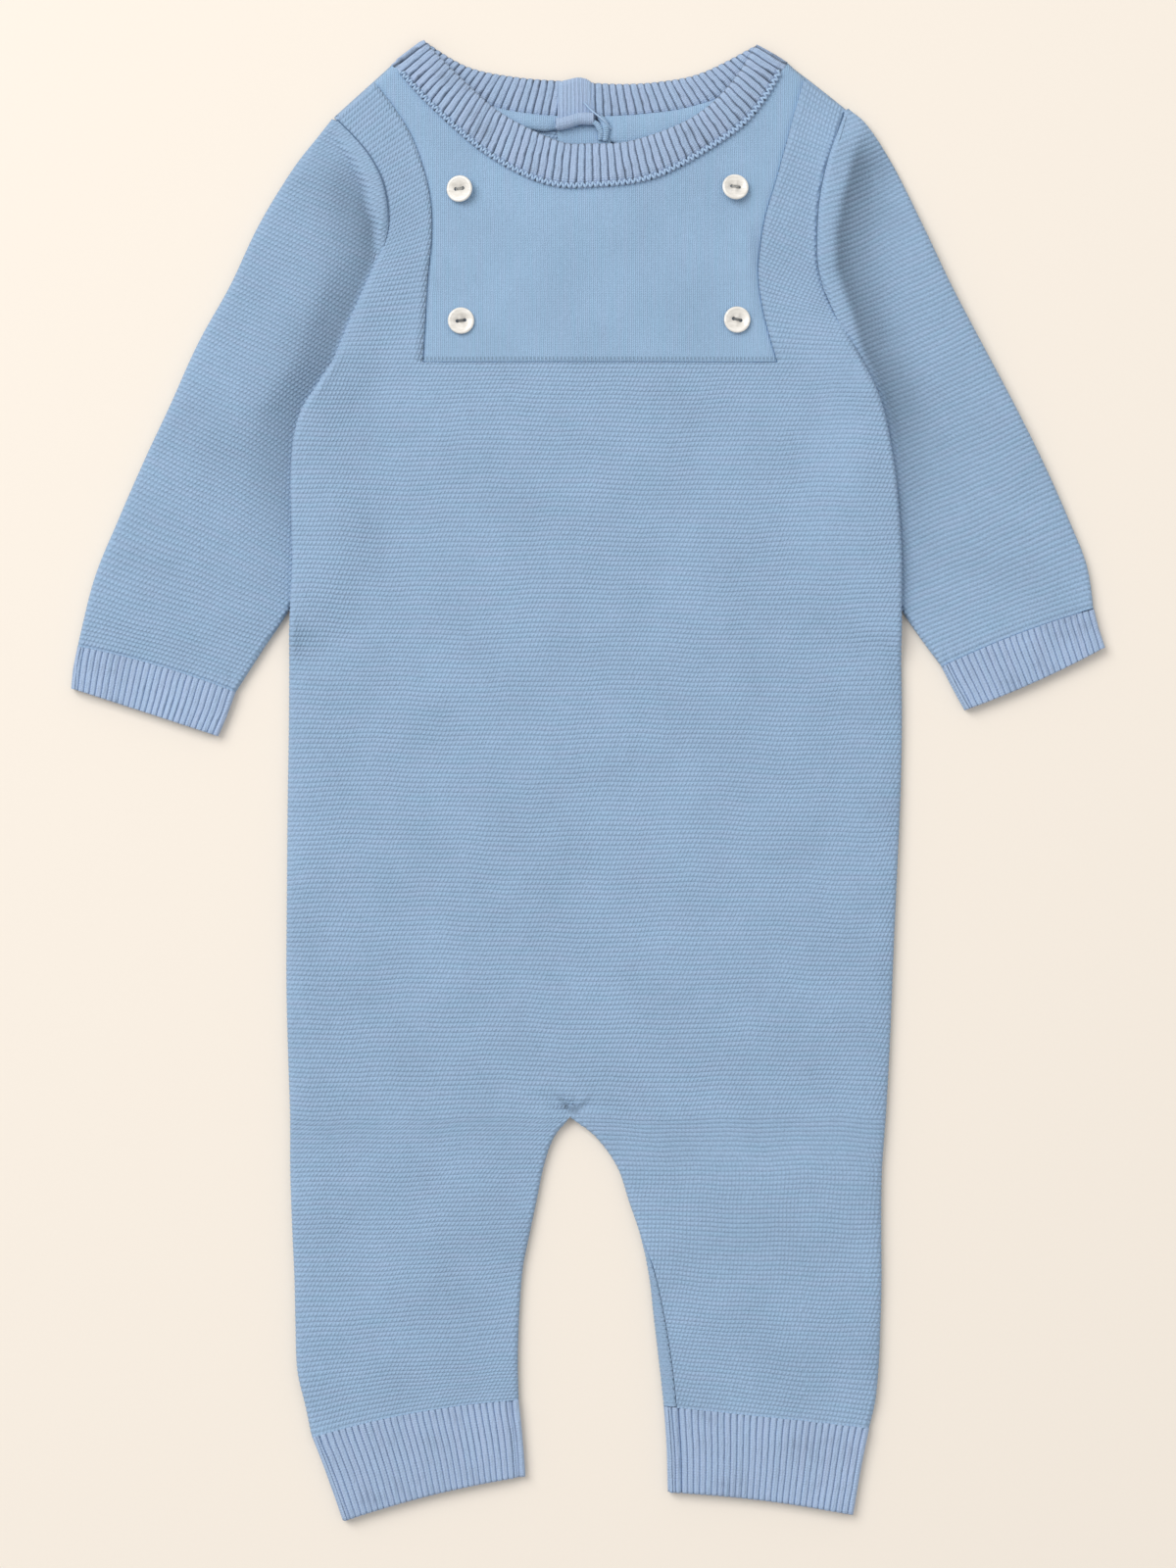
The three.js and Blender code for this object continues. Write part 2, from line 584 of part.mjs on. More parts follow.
// Rows of the back between the neck seam and the bib's lower level, curved less and less away from the neck
function upperBackRows() {
  const half = LAYERS.back.side + LAYERS.back.middle;
  const shoulderColumns = 2;
  const first = STRIP_POSITIONS[0];
  const firstLeft = pointAt(STRIPS, 'left', first);
  const firstRight = pointAt(STRIPS, 'right', first);
  const top = upperEdge(firstLeft, firstRight, curveThrough(NECK_BACK_SEWN), shoulderColumns, 2 * half);
  const slitHalf = new THREE.Vector3(SLIT.width / 2, 0, 0);
  return STRIP_POSITIONS.map((position, i) => {
    const left = pointAt(STRIPS, 'left', position);
    const right = pointAt(STRIPS, 'right', position);
    const share = (position - first) / (STRIPS.length - 1 - first);
    const row = { left: [], right: [] };
    for (let j = 0; j <= 2 * half; j++) {
      const u = j / (2 * half);
      const bow = top(j).sub(firstLeft.clone().lerp(firstRight, u)).multiplyScalar((1 - share) ** 1.4);
      const p = left.clone().lerp(right, u).add(bow);
      p.x = lerp(p.x, SLIT.x, THREE.MathUtils.clamp(1 - Math.abs(j - half) / 3, 0, 1));
      p.z = upperBack(p.x, p.y);
      if (i === 0 && j <= shoulderColumns) p.facing = inwardFrom(SHOULDERS[0]);
      if (i === 0 && j >= 2 * half - shoulderColumns) p.facing = inwardFrom(SHOULDERS[1]);
      if (j <= half) row.left.push(j === half ? p.clone().sub(slitHalf) : p);
      if (j >= half) row.right.push(j === half ? p.clone().add(slitHalf) : p);
    }
    return row;
  });
}

function makeBack() {
  const points = [];
  const quads = [];
  const body = layRows(bodyRows('back'), bodyBack, 'back');
  const left = body[0].map((row, i) => [...row, ...body[1][i].slice(1)]);
  const right = body[2].map((row, i) => [...row, ...body[3][i].slice(1)]);
  const upper = upperBackRows().slice(0, -1);
  addStrip(points, quads, [...upper.map((row) => row.left), ...left]);
  addStrip(points, quads, [...upper.map((row) => row.right), ...right]);
  return thicken(points, quads, CLOTH);
}

// A section round a flat tube: over the front from left to right, then back underneath
function tubeSection(left, right, shape, { frontOf, backOf, frontCount, backCount }) {
  const way = right.clone().sub(left);
  const total = way.length();
  way.normalize();
  const ends = [left, right].map((p) => {
    const top = frontOf(p.x, p.y);
    const bottom = backOf(p.x, p.y);
    return { radius: (top - bottom) / 2, centre: (top + bottom) / 2 };
  });
  const angles = [0, 45];
  const points = [];
  const put = (distance, height) => {
    const p = left.clone().addScaledVector(way, distance).add(shape(distance / total));
    points.push(p.setZ(height(p)));
  };
  const turn = (end, degrees) => {
    const angle = THREE.MathUtils.degToRad(degrees);
    const inward = CLOTH / 2 + ends[end].radius * (1 - Math.cos(angle));
    const height = ends[end].centre + ends[end].radius * Math.sin(angle);
    put(end === 0 ? inward : total - inward, () => height);
  };
  const flats = ends.map((end) => CLOTH / 2 + end.radius);
  for (const angle of angles) turn(0, angle);
  for (let k = 0; k <= frontCount; k++) {
    put(lerp(flats[0], total - flats[1], k / frontCount), (p) => frontOf(p.x, p.y));
  }
  for (const angle of [...angles].reverse()) turn(1, angle);
  turn(1, -angles[1]);
  for (let k = 0; k <= backCount; k++) {
    put(lerp(total - flats[1], flats[0], k / backCount), (p) => backOf(p.x, p.y));
  }
  turn(0, -angles[1]);
  return points;
}

const SLEEVE_COLUMNS = { frontCount: 11, backCount: 7 };
const TURN_COLUMNS = 8;

// The armhole as a curve from the shoulder to the armpit, just clear of the body's edge
function armholeCurve(side, sections) {
  const top = side === 'left' ? 'left' : 'right';
  const bottom = side === 'left' ? 'right' : 'left';
  const outline = STRIPS.map((row) => [row[`${side}X`], row[`${side}Y`]]);
  outline.push([TORSO[1][side], TORSO[1].y]);
  const first = sections[0];
  outline[0] = [first[`${top}X`], first[`${top}Y`]];
  outline.push([first[`${bottom}X`], first[`${bottom}Y`]]);
  const curve = curveThrough(outline);
  const distance = (side === 'left' ? 1 : -1) * (SEAM_GAP + CURVE_ALLOWANCE);
  return (share) => beside(curve, share, distance);
}

function makeSleeve(side, sections) {
  const armhole = armholeCurve(side, sections);
  const start = pointAt(sections, 'left', 0);
  const end = pointAt(sections, 'right', 0);
  const points = [];
  const columns = SLEEVE_COLUMNS.frontCount + SLEEVE_COLUMNS.backCount + TURN_COLUMNS;
  sections.forEach(({ bulge, bow }, i) => {
    const shape = (along) => {
      const fromTop = THREE.MathUtils.clamp(side === 'left' ? along : 1 - along, 0, 1);
      const bend = armhole(fromTop).sub(start.clone().lerp(end, THREE.MathUtils.clamp(along, 0, 1)));
      const sag = new THREE.Vector3(0, bow * 4 * along * (1 - along), 0);
      return bend.multiplyScalar(bulge ** (1 + 8 * fromTop)).add(sag);
    };
    const left = pointAt(sections, 'left', i);
    const right = pointAt(sections, 'right', i);
    const layers = { frontOf: sleeveFront, backOf: sleeveBack, ...SLEEVE_COLUMNS };
    points.push(...tubeSection(left, right, shape, layers));
  });
  return thicken(points, gridQuads(sections.length, columns, true), CLOTH);
}

// A cuff is a flat tube whose front is ribbed; the side that rests on the floor is plain
function makeCuff(sections) {
  const [sewn, middle, open] = sections;
  const width = Math.hypot(middle.rightX - middle.leftX, middle.rightY - middle.leftY);
  const ribs = Math.round((width - 4) / RIB_PITCH);
  const frontCount = 2 * ribs;
  const backCount = 10;
  const columns = frontCount + backCount + TURN_COLUMNS;
  const points = [];
  const away = new THREE.Vector3(open.leftX - sewn.leftX, open.leftY - sewn.leftY, 0).normalize();
  const layers = { frontOf: frontField, backOf: () => BACK_HEIGHT, frontCount, backCount };
  sections.forEach((row, i) => {
    const start = new THREE.Vector3(row.leftX, row.leftY, 0);
    const end = new THREE.Vector3(row.rightX, row.rightY, 0);
    if (i === 0) [start, end].forEach((p) => p.addScaledVector(away, SEAM_GAP));
    const bow = (share) => new THREE.Vector3(0, row.bow * 4 * share * (1 - share), 0);
    points.push(...tubeSection(start, end, bow, layers));
  });
  const relief = (i) => {
    const column = i % columns;
    return column >= 2 && column <= frontCount + 2 && column % 2 === 1 ? RIB_HEIGHT : 0;
  };
  return thicken(points, gridQuads(sections.length, columns, true), CLOTH, relief);
}

// The neckband is one ribbed strip from the centre back round the front to the centre back, where it overlaps
function makeNeckband() {
  const curves = {
    front: { open: curveThrough(NECK_FRONT_OPEN), sewn: curveThrough(NECK_FRONT_SEWN) },
    back: { open: curveThrough(NECK_BACK_OPEN), sewn: curveThrough(NECK_BACK_SEWN) },
  };
  const cornerHeight = { front: BACK_HEIGHT + LAYER_STEP, back: RIB_CLOTH / 2 };
  const radius = (cornerHeight.front - cornerHeight.back) / 2;
  const middleHeight = (cornerHeight.front + cornerHeight.back) / 2;
  const stations = [];
  const station = (part, share, height, rib) => stations.push({ part, share, height, rib });
  const length = (part) => (curves[part].open.getLength() + curves[part].sewn.getLength()) / 2;
  const lengths = { front: length('front'), back: length('back') };
  const ribCount = (part) => Math.round((lengths[part] - 2 * radius) / RIB_PITCH);
  const { degToRad } = THREE.MathUtils;
  const foldShare = (part, degrees) => (radius * (1 - Math.cos(degToRad(degrees)))) / lengths[part];
  const foldHeight = (degrees) => middleHeight + radius * Math.sin(degToRad(degrees));
  const ribRow = (part, from, to) => {
    const count = 2 * Math.round(ribCount(part) * Math.abs(to - from));
    for (let k = 0; k <= count; k++) station(part, lerp(from, to, k / count), null, k % 2 === 1);
  };
  const backFold = foldShare('back', 90);
  const frontFold = foldShare('front', 90);
  ribRow('back', NECK_ENDS.left, backFold);
  for (const degrees of [-45, 0]) station('back', foldShare('back', degrees), foldHeight(degrees), false);
  station('front', foldShare('front', 45), foldHeight(45), false);
  ribRow('front', frontFold, 1 - frontFold);
  for (const degrees of [45, 0]) {
    station('front', 1 - foldShare('front', degrees), foldHeight(degrees), false);
  }
  station('back', 1 - foldShare('back', 45), foldHeight(-45), false);
  ribRow('back', 1 - backFold, NECK_ENDS.right);
  const lastRight = stations.findLastIndex((s) => s.part === 'front');
  const points = [];
  for (const j of [0, 1]) {
    stations.forEach((s, i) => {
      const { open, sewn } = curves[s.part];
      const p = open.getPointAt(s.share).lerp(sewn.getPointAt(s.share), lerp(0.01, 0.99, j));
      let height = s.height;
      if (height === null && s.part === 'front') {
        const flat = lerp(BACK_HEIGHT + LAYER_STEP + NECK_FRONT_RISE, bodyFront(p.x, p.y), j);
        const fromCorner = Math.min(s.share, 1 - s.share) * lengths.front;
        height = lerp(cornerHeight.front, flat, smoothstep(fromCorner, radius, NECK_CORNER_LENGTH));
      }
      if (height === null) {
        const overlap = i > lastRight ? smoothstep(-p.x, -24, -12) : 0;
        height = cornerHeight.back + overlap * (RIB_CLOTH + RIB_HEIGHT + SEAM_GAP);
      }
      points.push(p.setZ(height));
    });
  }
  const stationOf = (i) => stations[i % stations.length];
  const outer = (i) => (stationOf(i).part === 'front' && stationOf(i).rib ? RIB_HEIGHT : 0);
  const inner = (i) => (stationOf(i).part === 'back' && stationOf(i).rib ? RIB_HEIGHT : 0);
  return thicken(points, gridQuads(2, stations.length), RIB_CLOTH, outer, inner);
}

// The button stand lies on the back, inside, under the opening
function makePlacket() {
  const height = CLOTH + SEAM_GAP + PLACKET.thickness / 2;
  const points = [];
  const rows = [PLACKET.top, 245, 220, 195, PLACKET.bottom];
  const columns = [PLACKET.left, -7, SLIT.x, 4, PLACKET.right];
  for (const y of rows) {
    for (const x of columns) {
      const slope = y === PLACKET.top ? (x - PLACKET.left) * -0.05 : 0;
      points.push(new THREE.Vector3(x, y + slope, height));
    }
  }
  return thicken(points, gridQuads(rows.length, columns.length), PLACKET.thickness);
}

// The joined edge of the back neck seam shows inside the neck as a narrow roll beside the placket
function makeNeckTape(from, to) {
  const curve = curveThrough(NECK_BACK_SEWN);
  const points = [];
  const count = 8;
  const sections = [
    { down: 0.2, rise: 0 },
    { down: 0.5, rise: 0.35 },
    { down: 0.8, rise: 0 },
  ];
  const height = CLOTH + SEAM_GAP + NECK_TAPE.thickness / 2;
  for (const { down, rise } of sections) {
    for (let k = 0; k <= count; k++) {
      const p = curve.getPointAt(lerp(from, to, k / count));
      p.y -= NECK_TAPE.drop + down * NECK_TAPE.width;
      points.push(p.setZ(height + rise));
    }
  }
  return thicken(points, gridQuads(sections.length, count + 1), NECK_TAPE.thickness);
}

function makeButton() {
  const { diameter, thickness, hole, holeSpacing } = BUTTON;
  const outline = new THREE.Shape().absarc(0, 0, diameter / 2, 0, 2 * Math.PI);
  for (const side of [-1, 1]) {
    const centre = (side * holeSpacing) / 2;
    const circle = new THREE.EllipseCurve(centre, 0, hole / 2, hole / 2, 0, 2 * Math.PI, true);
    outline.holes.push(new THREE.Path(circle.getPoints(BUTTON.holeSides)));
  }
  const solid = { depth: thickness, bevelEnabled: false, curveSegments: BUTTON.arcSides };
  const geometry = new THREE.ExtrudeGeometry(outline, solid);
  return geometry.translate(0, 0, -thickness / 2);
}

function placeButton(name, { x, y, tilt, towards, turn }) {
  const button = addPiece(name, makeButton(), 'shell');
  const angle = THREE.MathUtils.degToRad(tilt);
  const way = THREE.MathUtils.degToRad(towards);
  const axis = new THREE.Vector3(-Math.sin(way), Math.cos(way), 0);
  button.quaternion.setFromAxisAngle(axis, angle);
  button.rotateZ(THREE.MathUtils.degToRad(turn));
  const rise = (BUTTON.diameter / 2) * Math.sin(angle) + (BUTTON.thickness / 2) * Math.cos(angle);
  const surface = bodyFront(x, y) + CLOTH / 2;
  button.position.set(x, y, surface + rise + SEAM_GAP + CURVE_ALLOWANCE / 2);
}

addPiece('front_body', makeFront(), 'knit');
addPiece('bib_panel', makeBib(), 'plain');
addPiece('back_body', makeBack(), 'knit');
addPiece('sleeve_left', makeSleeve('left', SLEEVE_LEFT), 'knit');
addPiece('sleeve_right', makeSleeve('right', SLEEVE_RIGHT), 'knit');
for (const [name, table] of Object.entries(CUFFS)) addPiece(name, makeCuff(table), 'rib');
addPiece('neckband', makeNeckband(), 'rib');
addPiece('back_placket', makePlacket(), 'plain');
addPiece('neck_tape_left', makeNeckTape(0.27, 0.415), 'plain');
addPiece('neck_tape_right', makeNeckTape(0.56, 0.78), 'plain');
for (const [name, place] of Object.entries(BUTTONS)) placeButton(name, place);

// The origin is the middle of the part's box, on the surface that it lies on
const middle = new THREE.Box3().setFromObject(romper, true).getCenter(new THREE.Vector3());
romper.position.set(-middle.x, -middle.y, 0);

export default romper;
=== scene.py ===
"""A knitted baby romper with long sleeves and long legs, laid flat on its back on a pale floor."""

import math

import bmesh
import bpy
import numpy as np
from bpy.props import FloatProperty, FloatVectorProperty, IntProperty, PointerProperty
from mathutils import Matrix, Vector


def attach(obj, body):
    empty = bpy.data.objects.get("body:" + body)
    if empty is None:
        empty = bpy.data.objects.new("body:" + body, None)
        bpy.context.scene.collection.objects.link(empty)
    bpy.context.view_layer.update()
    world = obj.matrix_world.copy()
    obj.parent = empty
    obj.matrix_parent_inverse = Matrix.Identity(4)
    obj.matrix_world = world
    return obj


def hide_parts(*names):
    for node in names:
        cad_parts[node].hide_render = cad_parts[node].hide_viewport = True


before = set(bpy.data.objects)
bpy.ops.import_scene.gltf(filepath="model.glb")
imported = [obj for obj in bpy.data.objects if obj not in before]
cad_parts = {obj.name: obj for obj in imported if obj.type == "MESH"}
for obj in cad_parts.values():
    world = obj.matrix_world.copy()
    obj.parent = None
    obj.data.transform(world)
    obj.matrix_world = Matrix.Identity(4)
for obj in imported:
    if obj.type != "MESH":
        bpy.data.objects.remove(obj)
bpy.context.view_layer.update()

bl_info = {
    "name": "Knitted baby romper",
    "version": (1, 0, 0),
    "blender": (4, 5, 0),
    "location": "View3D > Sidebar > Romper",
    "description": "Builds a knitted baby romper, piece by piece, with its floor, light and camera",
    "category": "Object",
}

MM = 0.001
CENTRE_Y = -0.31

# Sizes of the cloth and of its layers, in millimetres
CLOTH = 1.6
RIB_CLOTH = 1.6
LAYER_STEP = 2.8
BACK_HEIGHT = CLOTH / 2
SHOULDER_ROLL = 1.4
SLEEVE_PRESSED = 2.2
SLEEVE_LEAST = 1.1
BODY_LIFT = 4.2
ARMHOLE_RIDGE = 1.9
NECK_FRONT_RISE = 1.4
NECK_OVERLAP_RISE = 0.6
SEAM_DIP = {"body": 0.7, "sleeve": 1.9}
SEAM_TUCK = 1.5
SEAM_GAP = 0.15
THICKNESS = {"bib": 1.3, "cuff": 1.0, "neckband": 1.2, "placket": 1.2, "neck tape": 1.0, "overlap tab": 1.0}
NECKBAND_HEIGHT = 17.0
# How much wider a ribbed piece is when its ribs are pulled flat
RIB_TAKE_UP = 1.35
SLIT_X = -1.5
SLIT_BOTTOM = 170.0

# How high on each side the armhole seam ends, the dark tube of painted seam shade ends and the sleeve starts
# to be pressed down
SEAM_END = {"left": 218.0, "right": 190.0}
SHADE_LINE_END = {"left": 219.0, "right": 190.0}
PRESS_START = {"left": 222.0, "right": 192.0}
# Between which heights the side edges of the front and of the back start to roll round the fold
EDGE_ROLL = {"left": (196.0, 222.0), "right": (172.0, 194.0)}
BACK_ROLL = (138.0, 150.0)
# How far across each leg, from its outer edge, the line lies that carries on the bib's side
GUIDE_SHARE = {"left": 0.47, "right": 0.34}


def columns(names, rows):
    """A table as a dictionary of its named columns."""
    return dict(zip(names.split(), np.array(rows, float).T))


# The side strips beside the bib, a row for each section from the shoulder down to the bib's lower edge
STRIPS = columns(
    "left_x left_y bib_left_x bib_left_y bib_right_x bib_right_y right_x right_y",
    [
        (-100, 261, -84, 274.5, 85, 276, 101, 264.5),
        (-92, 253, -77, 265.5, 81, 262, 97.5, 253),
        (-85, 244, -70, 254.5, 77.5, 249, 94, 243),
        (-80, 233, -65, 241.5, 74, 236, 91, 229),
        (-78.5, 219, -62, 228.5, 70, 222.5, 90, 215),
        (-82, 207, -61.5, 214, 68, 211, 90.5, 201),
        (-88, 194, -63, 198, 67, 198, 95, 188),
        (-95, 178.5, -64, 181, 69.5, 182, 101, 177.5),
        (-100.5, 164.5, -65, 164.5, 74.5, 164.5, 108, 164.5),
    ],
)

# The torso between the bib and the crotch
TORSO = columns(
    "y left right",
    [
        (164.5, -100.5, 108), (154, -107.5, 113), (145.5, -112.5, 116), (134, -115.5, 118.5),
        (121, -116.5, 120.5), (105, -116.3, 122), (87, -116, 123), (68, -116.8, 123),
        (50, -117.3, 123), (22, -117.5, 123.3), (-10, -118, 122.6), (-45, -118.3, 121),
        (-78, -118.5, 119.6), (-105, -117.9, 118.5), (-122, -117.3, 117.6), (-132, -117, 117),
    ],
)

# The legs; wrap is how far the back rolls over to the front at the right inseam
LEGS = columns(
    "left_x left_y inner_left_x inner_left_y inner_right_x inner_right_y right_x right_y wrap",
    [
        (-117, -132, -7, -132, -7, -132, 117, -132, 0),
        (-117, -141, -13.5, -140, 3, -139.5, 116.3, -141, 0),
        (-117, -152, -17.3, -151, 11.5, -151, 115.5, -152, 0),
        (-116.6, -166, -20, -164, 16, -164, 115.2, -166, 0),
        (-116, -181, -23, -178, 20.5, -178, 115.2, -181, 1),
        (-115.3, -197, -25.7, -192, 23.7, -193, 115.3, -197, 2.6),
        (-114.9, -215, -27, -208, 25.6, -209, 114.9, -213, 4.2),
        (-114.2, -232, -27.6, -225, 27.2, -223, 114.3, -229, 5),
        (-111, -246, -27.5, -235, 28.6, -235, 113, -243, 5.2),
        (-108.6, -257.6, -27.3, -243, 29.8, -245.5, 110.5, -254, 5),
    ],
)

# The sleeves' outer and inner edges, from the shoulder or the armpit to the cuff
SLEEVE_EDGES = {
    "left": {
        "outer": [(-100, 261), (-106.3, 253), (-117, 239), (-129.7, 218), (-140.5, 195), (-153.2, 172),
                  (-163.6, 149), (-174.4, 126), (-184.5, 103), (-194, 79.7), (-200.6, 53)],
        "inner": [(-112.8, 142), (-109.5, 133), (-107.4, 123), (-106.3, 111), (-107, 98), (-109.3, 86),
                  (-113.5, 75), (-118.8, 65), (-128.5, 50.5), (-138.5, 35)],
    },
    "right": {
        "outer": [(101, 264.5), (109, 258.5), (119.5, 243), (131.7, 218.3), (142.8, 195), (154.8, 172),
                  (167.1, 149), (178.6, 126), (189, 102.8), (196, 85), (198.7, 67.5)],
        "inner": [(116.4, 142), (113.6, 133), (112, 123), (111.4, 110), (112.4, 97), (115, 85),
                  (119, 75), (124.6, 65), (131.5, 55), (139, 45)],
    },
}

# The ribbed cuffs, from the end that is sewn on to the open end
CUFF_COLUMNS = "left_x left_y right_x right_y bow"
CUFFS = {
    "sleeve_cuff_left": columns(CUFF_COLUMNS, [
        (-200.6, 53, -138.5, 35, 1.5), (-202.2, 45, -141.8, 26, 0.8), (-203, 36.5, -145.5, 17.7, 0)]),
    "sleeve_cuff_right": columns(CUFF_COLUMNS, [
        (139, 45, 198.7, 67.5, 1.5), (143.4, 36.5, 200.6, 60, 0), (148.2, 28, 203, 52.6, -1.4)]),
    "ankle_cuff_left": columns(CUFF_COLUMNS, [
        (-108.6, -257.6, -27.3, -243, 2.3), (-102.2, -274, -25.8, -258, 2),
        (-96.2, -290.7, -24.8, -273, 1.7)]),
    "ankle_cuff_right": columns(CUFF_COLUMNS, [
        (29.8, -245.5, 110.5, -254, 0.2), (31, -262, 107, -271, 0.8), (31.6, -279.3, 104, -288.2, 1.4)]),
}
# The inner seam's groove on the front of each ankle cuff, and how far it lies from its inner edge
SEAM_GROOVE = {"depth": 1.3, "width": 0.9}
GROOVE_PLACE = {"ankle_cuff_left": 3.2, "ankle_cuff_right": 5.5}

# The neck: its open edge and its sewn edge, in front and behind, from the left shoulder to the right one
NECK = {
    "front_open": [(-64.3, 290.7), (-50.8, 276.4), (-34, 261.8), (-12, 251), (1, 250), (17, 251),
                   (39.7, 259.5), (55.4, 272.6), (66, 289)],
    "front_sewn": [(-76.6, 281.4), (-62, 265.3), (-39.7, 246), (-17, 234.6), (2.5, 233.3), (28, 237.5),
                   (56.6, 254.1), (69, 267), (77.8, 282.2)],
    "back_open": [(-64.3, 290.7), (-47.4, 280.7), (-28, 276.6), (-8, 275), (11, 273.9), (28, 274.8),
                  (45, 278.4), (66, 289)],
    "back_sewn": [(-76.6, 281.4), (-65.5, 273.2), (-50, 267.8), (-28, 262), (-2, 260), (28, 261.8),
                  (45, 265.3), (62, 271.6), (77.8, 282.2)],
}
NECK_BACK_ENDS = {"left": 0.49, "right": 0.505}

# What shows inside the neck: the rolled seam edges, the button stand, the overlap's tab and the yarn ends
NECK_TAPES = {
    "left": {"start": 0.17, "end": 0.435, "reach": 5.6},
    "right": {"start": 0.535, "end": 0.86, "reach": 12.0},
}
PLACKET = {"left": -12, "right": 9, "top": 258, "height": 2.9}
TAB = {
    "left": -12.3, "width": 14.6, "top": 274.6, "length": 36.0, "height": 3.3,
    "top_fold": 2.2, "flat": 15.5, "roll": 2.15,
}
YARN_ENDS = {
    "tail": [(4.6, 260.6, 4.6), (6.3, 258.2, 5.0), (6.9, 255.0, 4.6), (6.6, 251.5, 3.8)],
    "loop": [(1.2, 258.9, 6.4), (3.6, 257.4, 6.0), (5.0, 254.6, 5.2), (4.6, 251.8, 4.2)],
    "loose": [(-1.6, 266.4, 4.6), (1.0, 263.4, 5.2), (3.6, 261.0, 6.6), (6.6, 258.4, 6.8), (9.0, 255.9, 4.4)],
}

# Soft ridges and troughs of the front layer: a line, its half width and its height
FOLD_COLUMNS = "x1 y1 x2 y2 width height"
FOLDS = columns(FOLD_COLUMNS, [
    (-109, 40, -110, -235, 9, 0.7),
    (115, 40, 108, -235, 9, 0.7),
    (-2, 240, -2, 190, 40, 1.5),
    (-94, 232, -99, 178, 7, -1.1),
    (-122, 205, -165, 100, 17, 1.1),
    (96, 248, 94, 205, 5, 0.8),
    (112, 240, 118, 176, 6.5, -1.1),
    (128, 205, 168, 105, 17, 1.1),
    (66, 215, 70, 192, 2.5, -0.7),
    (62, 212, 64, 186, 3.5, 0.6),
    (-11.7, -122.7, -7.2, -127.2, 2.2, -1.7),
    (-4.5, -127.4, 1.2, -122.7, 1.8, -1.5),
    (-50, -95, 45, -95, 26, 0.9),
    (-31, -150, -26, -165, 4, -0.7),
    (-70, -170, -66, -225, 20, 0.8),
    (70, -165, 70, -225, 20, 0.8),
])

# Where the shade of the crease over the meeting point of the legs is painted into the cloth's colour
PAINTED_CREASE = {"x": -5.6, "y": -128.9, "flat": 1.6, "width": 1.6, "reach": 9.0}

BUTTON_SIZE = {"diameter": 10.4, "thickness": 1.5, "hole": 1.5, "hole_spacing": 2.8}
BUTTONS = {
    "button_upper_left": {"x": -50.4, "y": 232.2, "tilt": 14, "towards": 180, "turn": 4},
    "button_lower_left": {"x": -49.8, "y": 180.6, "tilt": 3, "towards": 0, "turn": 8},
    "button_upper_right": {"x": 57.8, "y": 232.9, "tilt": 15, "towards": 60, "turn": -6},
    "button_lower_right": {"x": 58.5, "y": 181.0, "tilt": 4, "towards": 30, "turn": -14},
}

# Each knit's colour, stitch and stitch width, how strong its bumps are, and how dark the painted shade makes
# its dips and grooves
KNITS = {
    "ridged_cotton": ("yarn", "purl_stitches", "wale", 1.0, 0.82, 0.04),
    "plain_cotton": ("bib", "plain_stitches", "wale", 0.6, 0.86, 0.06),
    "ribbed_cotton": ("rib", "plain_stitches", "rib_pitch", 0.7, 0.86, 0.2),
    "neck_cotton": ("rib", "plain_stitches", "rib_pitch", 0.7, 0.78, 0.8),
    "tab_cotton": ("rib", "plain_stitches", "wale", 0.6, 0.86, 0.1),
}
THREADS = {
    "button_thread": (0.16, 0.17, 0.18),
    "pale_thread": (0.42, 0.43, 0.42),
    "yarn_end": (0.40, 0.58, 0.82),
    # A dark tube of painted shade along the armhole seam's groove
    "seam_thread": (0.085, 0.16, 0.28),
}
# How much painted shade darkens the cloth's colour in the depth of a valley and of the crease, and where the
# bib's last row lies
VALLEY_SHADE = 0.42
CREASE_SHADE = 0.42
BIB_LAST_ROW = -165.9

# The light and the camera, in metres and watts
LIGHTS = {
    "key_light": {"energy": 83.0, "size": 2.3, "place": (-1.7, 1.5, 2.6), "turn": (-0.5, -0.55, 0.0),
                  "colour": (1.0, 0.975, 0.95)},
    "fill_light": {"energy": 8.5, "size": 2.4, "place": (0.9, 0.5, 2.4), "turn": (-0.2, 0.35, 0.0),
                   "colour": (1.0, 0.98, 0.96)},
}
ROOM = {"Color": (1.0, 0.97, 0.94, 1), "Strength": 0.55}
FLOOR_HALF = 3.0
CAMERA = {"lens": 81.8, "sensor": 36.0, "below_centre": 0.00115, "height": 1.403}

# How many steps of cloth lie round a fold, and how many rows make a ridge and columns a rib
FOLD_STEPS = 6
ROWS_PER_RIDGE = 3
COLUMNS_PER_RIB = 8


def smoothstep(x, low, high):
    """Rises smoothly from 0 at low to 1 at high."""
    share = np.clip((x - low) / (high - low), 0, 1)
    return share * share * (3 - 2 * share)


def spline(values, position):
    """A table's column at positions between its rows, on a smooth curve through the rows."""
    last = len(values) - 1
    k = np.minimum(np.floor(position).astype(int), last - 1)
    t = position - k
    a, b, c, d = (values[np.clip(k + i, 0, last)] for i in (-1, 0, 1, 2))
    return b + 0.5 * t * (c - a + t * (2 * a - 5 * b + 4 * c - d + t * (3 * (b - c) + d - a)))


def along(points):
    """Distance along a line of points, from its first point."""
    steps = np.linalg.norm(np.diff(points, axis=0), axis=1)
    return np.concatenate([[0], np.cumsum(steps)])


def resampled(goal, distance, values):
    """The columns of a table at the goal distances, where each of its rows has a distance."""
    return np.stack([np.interp(goal, distance, values[:, k]) for k in range(values.shape[1])], axis=-1)


def at_share(points, share):
    """Points on a line at the given shares of its length."""
    distance = along(points)
    return resampled(np.asarray(share) * distance[-1], distance, points)


def smooth_path(points, count):
    """A smooth line through a few points, in plan or in space."""
    points = np.array(points, float)
    position = np.linspace(0, len(points) - 1, count)
    return np.stack([spline(points[:, k], position) for k in range(points.shape[1])], axis=-1)


def smooth_line(outline, count=400):
    """A dense and evenly spaced line through a few outline points."""
    return at_share(smooth_path(outline, count), np.linspace(0, 1, count))


